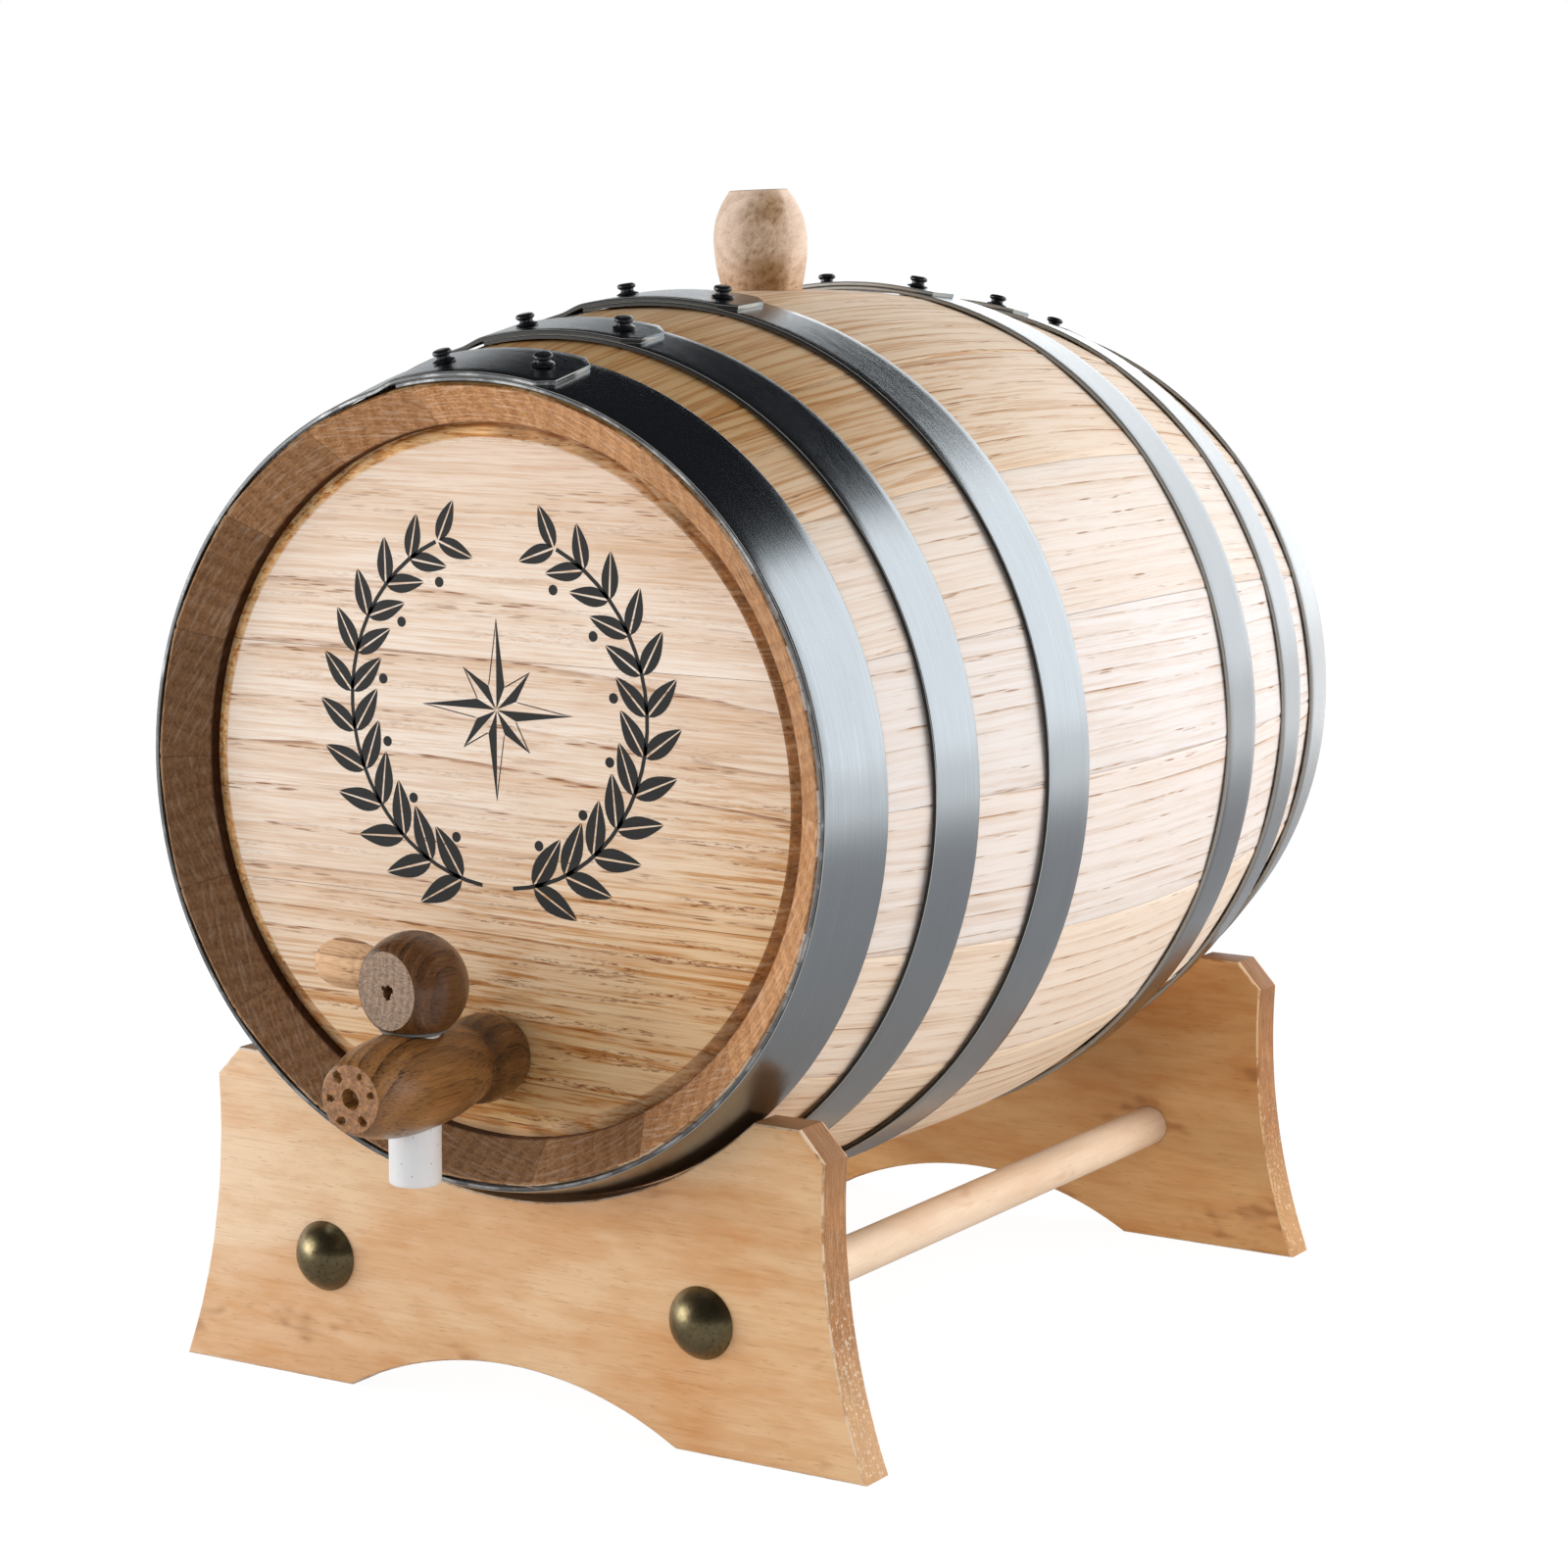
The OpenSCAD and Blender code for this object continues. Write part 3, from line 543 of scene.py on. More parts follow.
# The strip's section, as shares of its half width and of its thickness
strip_section = [(-1, 0.12), (-0.985, 0), (0.985, 0), (1, 0.12), (1, 0.55), (0.99, 0.8), (0.97, 0.94),
                 (0.94, 1), (0.7, 1), (-0.7, 1), (-0.94, 1), (-0.97, 0.94), (-0.99, 0.8), (-1, 0.55)]
for name, (at, width) in hoops.items():
    stand_off = 0.45 if "chime" not in name else 0.1
    middle_r = hoop_in(width, at)
    outer_end = pi / 2 - lap_half / middle_r
    lap_turn, joggle = 2 * lap_half / middle_r, joggle_len / middle_r
    sweep_to = 2 * pi + lap_turn
    stops = ([lap_turn * s / 12 for s in range(12)] + [lap_turn + joggle * s / 6 for s in range(6)]
             + [lap_turn + joggle + (sweep_to - lap_turn - joggle) * s / 150 for s in range(151)])
    # Corners cut off the visible end, as a narrower strip over its first few millimetres
    rings, marks = [], []
    for turn in stops:
        off = turn * middle_r
        level = 1.0 if turn < lap_turn else max(0.0, 1 - (turn - lap_turn) / joggle)
        lift = ease(level) * (hoop_t + 0.02)
        trim = max(0.0, lap_corner - off)
        way = outer_end + turn
        ring = []
        for u, h in strip_section:
            a = at + u * (width / 2 - trim)
            outward = (a - at if at > 0 else at - a) / width + 0.5
            r = hoop_in(width, a) + stand_off * (max(0, outward - 0.4) - 0.25) + lift + h * hoop_t
            ring.append(on_cask(r * cos(way), r * sin(way), a))
            # Edge marks: 0.5 paints a front hoop's edge near-black as shade, 0.3 and 0.41 paint a rear hoop's
            # edge pale above as painted highlight and half dark below as shade, and 1.0 marks a chime hoop's
            # scuffed outer edge.
            rim_wear_and_light = 0.5 if at > 0 else 0.3 if h > 0.5 else 0.41
            if "chime" in name and abs(a) > abs(at) and abs(u) == 1:
                rim_wear_and_light = 1.0
            marks.append((off, a, rim_wear_and_light if abs(u) > 0.98 and h > 0.1 else 0.0))
        rings.append(ring)
    hoop = form(name + "_steel", sweep(rings), "cask", [name], sharp=36)
    hoop.data.attributes.new("strip", "FLOAT_VECTOR", "POINT")
    hoop.data.attributes.new("edge", "FLOAT", "POINT")
    strip, edge = hoop.data.attributes["strip"], hoop.data.attributes["edge"]
    for k, (off, a, worn) in enumerate(marks):
        strip.data[k].vector = (off, a + at * 7, at)
        edge.data[k].value = worn
    hoop.data.materials.append(hoop_steel)

# ---- Rivets ----
# Two blackened steel rivets through each overlap, set cold: the foot is pressed flat and flared
# on the strip, the shank above it is left long, and its end is hammered to a small flat knob.
rivet_x, rivet_r, rivet_head_r, rivet_h = 12.6, 1.6, 2.15, 2.6
base = 2 * hoop_t + 0.12
rivet_outline = [(0, 0.1), (rivet_r, 0.1), (rivet_r, base - 0.2), (2.55, base), (2.6, base + 0.15),
                 (2.4, base + 0.35), (1.85, base + 0.5), (rivet_r - 0.08, base + 0.75),
                 (rivet_r - 0.08, base + rivet_h - 1.35), (rivet_head_r - 0.2, base + rivet_h - 1.12),
                 (rivet_head_r, base + rivet_h - 0.8), (rivet_head_r - 0.04, base + rivet_h - 0.45),
                 (rivet_head_r - 0.3, base + rivet_h - 0.15), (rivet_head_r - 0.75, base + rivet_h - 0.02),
                 (0.6, base + rivet_h), (0, base + rivet_h - 0.05)]
rivets = bmesh.new()
for name, (at, width) in hoops.items():
    lean = atan((hoop_in(width, at + width / 2) - hoop_in(width, at - width / 2)) / width)
    r = hoop_in(width, at)
    for side in (-1, 1):
        way = pi / 2 - side * asin(rivet_x / r)
        out = Vector((cos(way) * cos(lean), sin(way) * cos(lean), -sin(lean)))
        along = Vector((cos(way) * sin(lean), sin(way) * sin(lean), cos(lean)))
        across = out.cross(along)
        foot = Vector((r * cos(way), r * sin(way), at))
        tilt = Vector((dice.uniform(-0.05, 0.05), dice.uniform(-0.05, 0.05)))

        def on_strip(x, y, h):
            knob = max(0.0, h - base)
            p = foot + out * h + across * (x + tilt.x * knob) + along * (y + tilt.y * knob)
            return on_cask(p.x, p.y, p.z)

        turned(rivet_outline, on_strip, 28, rivets)
rivet_piece = form("hoop_rivets_steel", rivets, "cask", ["hoop_rivets"], sharp=40)

black_steel = bpy.data.materials.new("rivet_steel")
where = blank(black_steel).place()
grime = where.scaled(0.9, 0.9, 0.9).cloud(4.0, 0.65)
rub = where.scaled(0.35, 0.35, 0.35).cloud(2.0)
(grime.step(0.52, 0.72) * 0.4).over(rgb(28, 29, 32), rgb(92, 94, 98)).surface(
    0.28 + rub * 0.2, grime, 0.4, {"Metallic": 0.5, "Coat Weight": 0.4, "Coat Roughness": 0.18})
rivet_piece.data.materials.append(black_steel)

# ---- Bung ----
# A turned oak bung, pushed in by hand: a tapered shank in the hole, a barrel-shaped knob above.
# It is turned with the grain lying level, so its front shows the end of the grain, and left bare.
bung_r, bung_top_r, bung_h, bung_reach, bung_end_r = 11.1, 7.2, 23.0, 4.0, 8.0
neck_r, bung_mid = bung_hole_r - 0.1, bung_h * 0.48


def swell(r_wide, r_end, h_wide, h_end, power, first=0, steps=20):
    """Part of a turned outline: level at its widest place, and falling away to its end."""
    return [(r_wide - (r_wide - r_end) * (s / steps) ** power, h_wide + (h_end - h_wide) * s / steps)
            for s in range(first, steps + 1)]


bung_outline = [(0, -stave_t - bung_reach), (bung_end_r - 0.5, -stave_t - bung_reach),
                (bung_end_r, -stave_t - bung_reach + 0.5), (neck_r, -stave_t / 2)]
bung_outline += swell(bung_r, neck_r, bung_mid, 0, 2)[::-1]
bung_outline += swell(bung_r, bung_top_r, bung_mid, bung_h - 0.5, 2.2, 1)
bung_outline += [(bung_top_r - 0.15, bung_h - 0.2), (bung_top_r - 0.5, bung_h), (bung_top_r - 2.5, bung_h),
                 (0, bung_h)]
bung = form("bung_oak", turned(bung_outline, lambda x, y, h: on_bung(x, y, bilge_r + h)),
            "bung", ["bung"])
bung_oak = oak("bung_oak", pale=rgb(231, 209, 190), late=rgb(158, 118, 80), pore=rgb(104, 70, 40),
               cut=rgb(196, 162, 130), cut_dark=rgb(146, 108, 76), ring_w=3.4, line=0.0, pores=0.0,
               figure=2.4, bands=0.9, fuzz=0.6, streak=0.5)


def bung_tone_and_shade(p):
    h = p.z / mm - axis_z - bilge_r
    low = max(0.0, 1 - h / 8)
    side = Vector((p.x / mm, p.y / mm - cask_y - bung_at))
    # A darker band runs down the side facing front and right, partly the end grain's darker heart and partly
    # painted shade, and darker again towards its top and bottom. The whole bung is also darker towards its
    # base.
    heart = clamp((side.dot((0.25, -0.965)) / (side.length + 1) - 0.6) / 0.28)
    heart *= 0.5 + 0.5 * clamp((abs(h - bung_h / 2) - 2.5) / 4)
    return tuple(c * (1 - k * low) * (1 - m * heart)
                 for c, k, m in ((1.01, 0.14, 0.56), (1.0, 0.24, 0.66), (1.0, 0.36, 0.8)))


def in_bung(p):
    x, y = p.x / mm, p.y / mm - cask_y
    return 0.9 * x + 0.43 * y + 5, p.z / mm - axis_z - bilge_r - 11, 0.43 * x - 0.9 * y


saw(bung, bung_oak, in_bung, 0, 0, 600, bung_tone_and_shade, lambda p, n: 1.0 if abs(n.z) > 0.8 else 0.0)

# ---- Tap body ----
# Turned from a dark oiled hardwood: a barrel with a sawn front, a waist and a bead that stops
# against the head. Its shank is driven through the head, and the key's bore goes down through it.
# The lathe's centre left a hole in the sawn front, and the chuck's teeth a few pits round it.
tap_len, tap_r, tap_face_r, tap_waist_r = 53.1, 11.2, 7.6, 8.5
tap_bead_r, tap_bead_len, tap_shank_end_r, tap_shank_reach = 9.8, 13.4, 6.0, 16.0
key_at, tube_r, key_gap, channel_r = 30.8, 5.7, 0.05, 3.0
collar_r, collar_sink, collar_gap = 7.3, 0.8, 0.3
widest = (tap_len + tap_bead_len) / 2
tap_z = axis_z - tap_drop
key_y = cask_y - face_a - key_at
tap_outline = [(0, -head_t - tap_shank_reach), (tap_shank_end_r, -head_t - tap_shank_reach),
               (tap_shank_r, -head_t), (tap_shank_r, seat_gap)]
bead_mid = seat_gap + tap_bead_len / 2
tap_outline += swell(tap_bead_r, tap_waist_r, bead_mid, seat_gap, 2, 0, 10)[::-1]
tap_outline += swell(tap_bead_r, tap_waist_r, bead_mid, seat_gap + tap_bead_len, 2, 1, 10)
tap_outline += swell(tap_r, tap_waist_r, widest, tap_bead_len, 2)[-2::-1]
tap_outline += swell(tap_r, tap_face_r, widest, tap_len - 0.3, 2.4, 1)
tap_outline += [(tap_face_r - 0.35, tap_len)]
tap_outline += [(tap_face_r * (1 - s / 26), tap_len) for s in range(2, 27)]
pits = [(0, 0, 1.8, 3.0), (5.2, 1.4, 0.6, 1.2), (3.1, -4.3, 0.85, 1.3), (-2.4, -4.9, 0.8, 1.2),
        (-5.2, -0.4, 0.65, 1.0), (-3.2, 4.3, 0.85, 1.2), (2.4, 5.0, 0.5, 0.9)]


def tap_point(x, y, h):
    if h > tap_len - 0.01:
        for px, py, r, deep in pits:
            ragged = (0.04 if px == 0 else 0.22) * sin(2 * atan2(y - py, x - px) + 3 * py)
            far = hypot(x - px, y - py) / r * (1 + ragged)
            if far < 1.15:
                h -= deep * (1 - max(0.0, (far - 0.7) / 0.45) ** 2) if far > 0.7 else deep
    return on_cask(x, y - tap_drop, face_a + h)


tap = form("tap_body_wood", turned(tap_outline, tap_point), "cask", ["tap_body"])
bore(tap, (0, key_y * mm, (tap_z - tap_r - 1) * mm), (0, 0, 1), tube_r + key_gap, 2 * tap_r + 2)
bore(tap, (0, key_y * mm, (tap_z + tap_r - collar_sink) * mm), (0, 0, 1), collar_r + collar_gap, 3)
bore(tap, on_cask(0, -tap_drop, face_a - head_t - tap_shank_reach - 1), (0, -1, 0), channel_r,
     key_at + head_t + tap_shank_reach + 1, 40)
tap_wood = oak("tap_wood", pale=rgb(148, 104, 58), late=rgb(62, 34, 13), pore=rgb(34, 18, 8),
               cut=rgb(182, 130, 82), cut_dark=rgb(80, 45, 20), ring_w=2.7, line=1.7, pores=1.1, gloss=0.32,
               coat=0.3, figure=1.7, bands=1.8, fuzz=1.5, swirl=0.3)


def tap_tone_and_shade(p):
    a = from_cask(p)[2] - face_a
    # Painted shade in the crease of the waist, where the bead meets the body; the whole bead is darker too.
    t = exp(-((a - tap_bead_len) / 3.5) ** 2) * 0.34 + (0.3 if a < tap_bead_len else 0.0)
    return 1 - t, 0.97 - t, 0.92 - t


saw(tap, tap_wood, lambda p: (p.x / mm, p.z / mm - tap_z, -p.y / mm), 30, 9, 900, tap_tone_and_shade,
    lambda p, n: 1.0 if abs(n.y) > 0.8 else 0.0)

# ---- Key ----
# The part of the tap that turns: a moulded white tube with a collar, which is both plug and
# spout, a turned ball with a sawn front glued on its stub, and a lighter side peg in the ball.
tube_end, spout_step, tube_bore = 60.6, 0.05, 3.85
tap_top, collar_t = tap_r - collar_sink + seat_gap, 0.8
seat_z = tap_z + tap_top + collar_t
stub_r, stub_len = 4.0, 6.0
roof = tap_z + channel_r + 1.85
spout_top = tap_z - tap_r - 2 * seat_gap
tube_outline = [(0, roof), (tube_bore, roof), (tube_bore, tube_end + 0.3), (tube_bore + 0.25, tube_end),
                (tube_r - 0.75, tube_end), (tube_r - 0.35, tube_end + 0.12), (tube_r - 0.12, tube_end + 0.4),
                (tube_r - spout_step, tube_end + 0.9), (tube_r - spout_step, spout_top),
                (tube_r, spout_top + 0.5), (tube_r, tap_z + tap_top), (collar_r - 0.3, tap_z + tap_top),
                (collar_r, tap_z + tap_top + 0.25), (collar_r, seat_z - 0.25), (collar_r - 0.25, seat_z),
                (stub_r, seat_z), (stub_r, seat_z + stub_len), (0, seat_z + stub_len)]

key_cos, key_sin = cos(radians(9.5)), sin(radians(9.5))


def on_key(x, y, h):
    return Vector(((x * key_cos + y * key_sin) * mm, (key_y - x * key_sin + y * key_cos) * mm, h * mm))


def from_key(p):
    x, y = p.x / mm, p.y / mm - key_y
    return x * key_cos - y * key_sin, x * key_sin + y * key_cos, p.z / mm


tube = form("key_tube_plastic", turned(tube_outline, on_key, 72), "tap_key", ["key_tube"])
bore(tube, on_key(0, 0, tap_z), (key_cos, -key_sin, 0), channel_r, tube_r + 1, 40)
white_plastic = bpy.data.materials.new("tube_plastic")
where = blank(white_plastic).place()
cloudy = where.scaled(0.25, 0.25, 0.12).cloud(3.0)
speck = where.scaled(0.55, 0.55, 0.55).cells().step(0.16, 0.08) * cloudy.step(0.45, 0.55)
lathe_lines = where.scaled(0.1, 0.1, 3.0).cloud(2.0)
skin = (cloudy * 0.4).over(rgb(236, 237, 238), rgb(214, 215, 216))
skin = (speck * 0.6).over(skin, rgb(150, 148, 144))
# Painted shade: the collar, under the ball, is painted dark grey.
collar_shade = where.axes()[2].step(tap_z + tap_top - 0.6, tap_z + tap_top - 0.3)
skin = (collar_shade * 0.95).over(skin, rgb(98, 96, 92))
skin.surface(0.32 + cloudy * 0.15, lathe_lines, 0.12, {"Subsurface Weight": 0.15, "Subsurface Scale": 0.002})
tube.data.materials.append(white_plastic)

ball_r, ball_flat, ball_seat_h = 11.75, 7.9, 8.85
ball_z = seat_z + seat_gap + ball_seat_h
peg_rise, peg_len, peg_r, peg_tenon_r = 2.1, 28.6, 5.4, 2.6
# The ball is turned about the flat's axis: its sawn face has a chipped centre hole
ball_outline = [(0, -ball_r)]
flat_edge = asin(ball_flat / ball_r)
for s in range(1, 41):
    t = -pi / 2 + (flat_edge + pi / 2) * s / 40
    ball_outline.append((ball_r * cos(t), ball_r * sin(t)))
flat_r = ball_r * cos(flat_edge)
ball_outline[-1] = (flat_r, ball_flat - 0.25)
ball_outline += [(flat_r - 0.3, ball_flat)] + [(flat_r * (1 - s / 22), ball_flat) for s in range(2, 22)]
ball_outline += [(0, ball_flat)]


def ball_point(x, y, h):
    if h > ball_flat - 0.01:
        way = atan2(y, x)
        far = hypot(x - 0.3, y + 0.2) / (1.35 + 0.3 * sin(3 * way) + 0.2 * sin(5 * way + 1))
        h -= 2.2 * max(0.0, 1 - far ** 4) if far < 1 else 0
    return on_key(x, -h, ball_z + y)


bm = turned(ball_outline, ball_point, 80)
saw_off(bm, on_key(0, 0, seat_z + seat_gap), (0, 0, -1))
ball = form("key_ball_wood", bm, "tap_key", ["key_ball"])
bore(ball, on_key(0, 0, seat_z + seat_gap - 1), (0, 0, 1), stub_r + seat_gap, stub_len + 1, 48)
bore(ball, on_key(-stub_r - 2 * seat_gap, 0, ball_z + peg_rise), (-key_cos, key_sin, 0),
     peg_tenon_r + seat_gap, ball_r, 40)
ball_wood = oak("ball_wood", pale=rgb(102, 66, 34), late=rgb(40, 22, 10), pore=rgb(26, 14, 7),
                cut=rgb(170, 138, 108), cut_dark=rgb(66, 44, 27), ring_w=2.2, line=1.6, pores=1.0, gloss=0.32,
                coat=0.3, figure=1.3, bands=1.7, fuzz=1.4, swirl=0.15)
saw(ball, ball_wood, lambda p: (from_key(p)[0], p.z / mm - ball_z, -from_key(p)[1]), 8, 26, 300,
    (1, 0.97, 0.94), lambda p, n: 1.0 if from_key(p)[1] < 0.06 - ball_flat else 0.0)

peg_start = sqrt(ball_r ** 2 - peg_rise ** 2) + seat_gap
widest_at, peg_neck = peg_start + (peg_len - peg_start) * 0.58, peg_r * 0.76
peg_outline = [(0, stub_r + 3 * seat_gap), (peg_tenon_r, stub_r + 3 * seat_gap), (peg_tenon_r, peg_start)]
peg_outline += [(peg_r - (peg_r - peg_neck) * (1 - s / 20) ** 2 - (0.12 if s in (3, 4) else 0),
                 peg_start + (widest_at - peg_start) * s / 20) for s in range(20)]
round_end = [pi / 2 * s / 20 for s in range(20)]
peg_outline += [(peg_r * cos(t), widest_at + (peg_len - widest_at) * sin(t)) for t in round_end]
peg_outline += [(0, peg_len)]
peg = form("key_peg_wood", turned(peg_outline, lambda x, y, h: on_key(-h, x, ball_z + peg_rise + y), 64),
           "tap_key", ["key_peg"])
peg_wood = oak("peg_wood", pale=rgb(230, 190, 150), late=rgb(146, 98, 58), pore=rgb(82, 50, 26),
               cut=rgb(204, 164, 128), cut_dark=rgb(150, 106, 72), ring_w=3.0, line=1.5, pores=1.2,
               bands=1.5, fuzz=1.3, streak=0.3)
saw(peg, peg_wood, lambda p: (from_key(p)[1], p.z / mm, from_key(p)[0]), 40, 18, 120, (1, 0.98, 0.95),
    lambda p, n: 1.0 if n.x < -0.85 else 0.0)

# ---- Stand plates ----
# Two plates of a smooth pale hardwood, sawn to a cradle, waisted sides and an arch between the
# feet, with their corners cut off. The grain lies level, the edges are lightly rounded over,
# and all of it has a thin coat of satin varnish, which turns the sawn edges brown.
stand_len, plate_t, cheek_w = 224.4, 10.0, 17.4
waist_z, side_r, shoulder_z, shoulder_cut = 58.0, 160.0, 75.0, 6.8
arch_h, arch_half = 11.6, 44.0
dowel_r, dowel_x, dowel_z = 5.0, 50.8, 29.4
chime_hoop_w = hoops["chime_hoop_front"][1]
cradle_r = hoop_in(chime_hoop_w, cask_half - chime_hoop_w) + hoop_t + 0.3
waist_half = sqrt(cradle_r ** 2 - (axis_z - shoulder_z) ** 2) + cheek_w
side_x = waist_half + side_r


def side_at(z):
    return side_x - sqrt(side_r ** 2 - (z - waist_z) ** 2)


arch_r = (arch_half ** 2 + arch_h ** 2) / (2 * arch_h)
waist = [s * (shoulder_z - shoulder_cut) / 22 for s in range(23)]
right = [(arch_half, 0)] + [(side_at(z), z) for z in waist]
right += [(side_at(shoulder_z) - shoulder_cut, shoulder_z)]
cradle_from = acos((axis_z - shoulder_z) / cradle_r)
cradle = [(cradle_r * sin(t), axis_z - cradle_r * cos(t))
          for t in [cradle_from - s * 2 * cradle_from / 72 for s in range(73)]]
left = [(-x, z) for x, z in reversed(right)]
arch_from = asin(arch_half / arch_r)
arch = [(arch_r * sin(t), arch_h - arch_r + arch_r * cos(t))
        for t in [-arch_from + s * 2 * arch_from / 30 for s in range(1, 30)]]
plate_outline = right + cradle + left + arch


def varnished(name, pale, streak, edge_colour, edge_dark, figure=1.0, gloss=0.4):
    """Smooth close-grained wood under satin varnish: soft figure, thin short streaks, browner ends."""
    made = bpy.data.materials.new(name)
    wood = blank(made)
    at, tone, end = wood.layer("tree", 1), wood.layer("tone", 0), wood.layer("end", 2)
    blotch = at.scaled(0.045, 0.045, 0.016).cloud(3.0, 0.6)
    mottle = at.scaled(0.25, 0.25, 0.055).cloud(3.0, 0.65)
    stain = at.scaled(0.06, 0.06, 0.03).cloud(3.0, 0.7).step(0.6, 0.72)
    curl = at.scaled(0.08, 0.05, 0.02).cloud(3.0, 0.6)
    fibre = at.scaled(2.0, 2.0, 0.06).cloud(3.0, 0.7)
    fleck = at.scaled(2.4, 2.4, 0.3).cloud(2.0, 0.5).step(0.62, 0.74)
    plain = (blotch.step(0.4, 0.64) * (0.55 * figure)
             + mottle.step(0.38, 0.7) * (0.38 * figure)).over(pale, streak)
    plain = (fibre.step(0.45, 0.8) * 0.3 + fleck * 0.4 + stain * (0.8 * figure)).over(plain, edge_colour)
    sawn = (fibre.step(0.3, 0.75) * 0.55 + mottle.step(0.4, 0.7) * 0.3).over(edge_colour, edge_dark)
    lines = at.scaled(1.6, 0.11, 0.11).cloud(4.0, 0.7).step(0.46, 0.66)
    sawn = (lines * 0.3).over(sawn, pale)
    arris = end.step(0.25, 0.4) * end.step(0.75, 0.6)
    chipped = arris * at.scaled(0.5, 0.14, 0.14).cloud(3.0, 0.7).step(0.4, 0.54)
    high = at.axes()[1]
    sawn = (high.step(35.0, 8.0) * 0.4).over(sawn, pale)
    sawn = (high.step(50.0, 75.0) * 0.45).over(sawn, edge_dark)
    worn = at.scaled(1.0, 0.9, 0.9).cloud(4.0, 0.75).step(0.56, 0.62) * high.step(60.0, 20.0)
    sawn = (chipped * 0.8 + worn * 0.55).over(sawn, rgb(252, 240, 224))
    end.step(0.1, 0.8).over(plain, sawn).times(tone).surface(
        gloss + curl * 0.12 + end * 0.15, fibre * 0.4 + end * lines * 1.2, 0.25,
        {"Specular IOR Level": 0.4, "Coat Weight": 0.12, "Coat Roughness": 0.3})
    return made


stand_wood = varnished("stand_wood", rgb(236, 198, 154), rgb(214, 152, 92), rgb(178, 124, 76),
                       rgb(116, 80, 50))

for name, way in (("stand_plate_front", 1), ("stand_plate_rear", -1)):
    y_out = cask_y - way * stand_len / 2
    rings = [[Vector((x * mm, (y_out + way * off) * mm, z * mm)) for x, z in plate_outline]
             for off in (0, plate_t)]
    bm = sweep(rings)
    bmesh.ops.recalc_face_normals(bm, faces=bm.faces)
    faces = [f for f in bm.faces if abs(f.normal.y) > 0.9]
    rims = list({e for f in faces for e in f.edges})
    bmesh.ops.bevel(bm, geom=rims, offset=0.9 * mm, segments=3, profile=0.6, affect="EDGES",
                    clamp_overlap=True)
    plate = form(name + "_wood", bm, "stand", [name], sharp=30)
    for side in (-1, 1):
        bore(plate, (side * dowel_x * mm, (y_out - way) * mm, dowel_z * mm), (0, way, 0), dowel_r + seat_gap,
             plate_t + 2, 48)

    def plate_painted_light(p, way=way):
        # Painted light: the front plate is paler and less yellow towards the left, where the left lamp falls,
        # and a little darker towards the right; the rear plate, whose inner face is in shade, is painted
        # deeper and more orange as painted shade.
        left = clamp((-p.x / mm - 20) / 60) - 0.25 * clamp((p.x / mm - 10) / 50)
        return tuple(1 + k * left for k in (0.08, 0.19, 0.4)) if way > 0 else (0.95, 0.83, 0.62)

    saw(plate, stand_wood, lambda p: (p.y / mm, p.z / mm, p.x / mm), 0, 140, 500 + 900 * way, plate_painted_light,
        lambda p, n: 0.0 if abs(n.y) > 0.92 else 0.5 if abs(n.y) > 0.2 else 0.9)

# ---- Dowels ----
# Two plain round rods of pale wood tie the plates together and are glued into holes in them.
# Their ends stop just short of the outer faces, under the caps.
dowel_wood = varnished("dowel_wood", rgb(240, 216, 190), rgb(216, 176, 138), rgb(206, 164, 126),
                       rgb(160, 112, 76), 0.6, 0.5)
for name, side in (("stand_dowel_left", -1), ("stand_dowel_right", 1)):
    long = stand_len - 1.0
    rod_outline = [(0, 0), (dowel_r - 0.4, 0), (dowel_r, 0.4)]
    rod_outline += [(dowel_r, 0.4 + (long - 0.8) * s / 12) for s in range(1, 12)]
    rod_outline += [(dowel_r, long - 0.4), (dowel_r - 0.4, long), (0, long)]

    def on_dowel(x, y, h):
        return Vector(((side * dowel_x + x) * mm, (cask_y - long / 2 + h) * mm, (dowel_z + y) * mm))

    rod = form(name + "_wood", turned(rod_outline, on_dowel, 64), "stand", [name])
    for face_y, way in ((cask_y - long / 2, 1), (cask_y + long / 2, -1)):
        bore(rod, (side * dowel_x * mm, (face_y - way) * mm, dowel_z * mm), (0, way, 0), 1.3, 13, 24)
    saw(rod, dowel_wood, lambda p: (p.x / mm, p.z / mm, p.y / mm), 20 + 50 * side, 30, 100 + 700 * side,
        (1, 1, 1), lambda p, n: 0.8 if abs(n.y) > 0.8 else 0.0)

# ---- Caps ----
# Four domed upholstery-type caps of antiqued brass, pressed from sheet, each on its own nail.
# The nail is driven into the dowel's end until the cap's rim meets the plate and hides the joint.
cap_r, cap_h, cap_t, nail_r, nail_len = 8.1, 5.2, 0.8, 1.2, 11.0
dome_r = (cap_r ** 2 + cap_h ** 2) / (2 * cap_h)
cap_outline = [(0, -nail_len), (0.3, -nail_len), (nail_r, -nail_len + 2.5), (nail_r, cap_h - cap_t - 0.2)]
inner_r = sqrt((dome_r - cap_t) ** 2 - (dome_r - cap_h) ** 2)
for s in range(2, 17):
    t = s / 16
    r = inner_r * t
    inside = cap_h - dome_r + sqrt(max(0, (dome_r - cap_t) ** 2 - r * r))
    cap_outline.append((max(r, nail_r + 0.05), inside))
cap_outline += [(cap_r - 0.25, 0.0), (cap_r, 0.12)]
for s in range(1, 25):
    t = 1 - s / 24
    r = cap_r * t
    cap_outline.append((r, max(0.25, cap_h - dome_r + sqrt(dome_r ** 2 - r * r)) if s < 24 else cap_h))
caps = bmesh.new()
for side in (-1, 1):
    for way in (-1, 1):
        y0 = cask_y + way * (stand_len / 2 + seat_gap)
        turned(cap_outline, lambda x, y, h: Vector(((side * dowel_x + x) * mm, (y0 + way * h) * mm,
                                                    (dowel_z + y) * mm)), 64, caps)
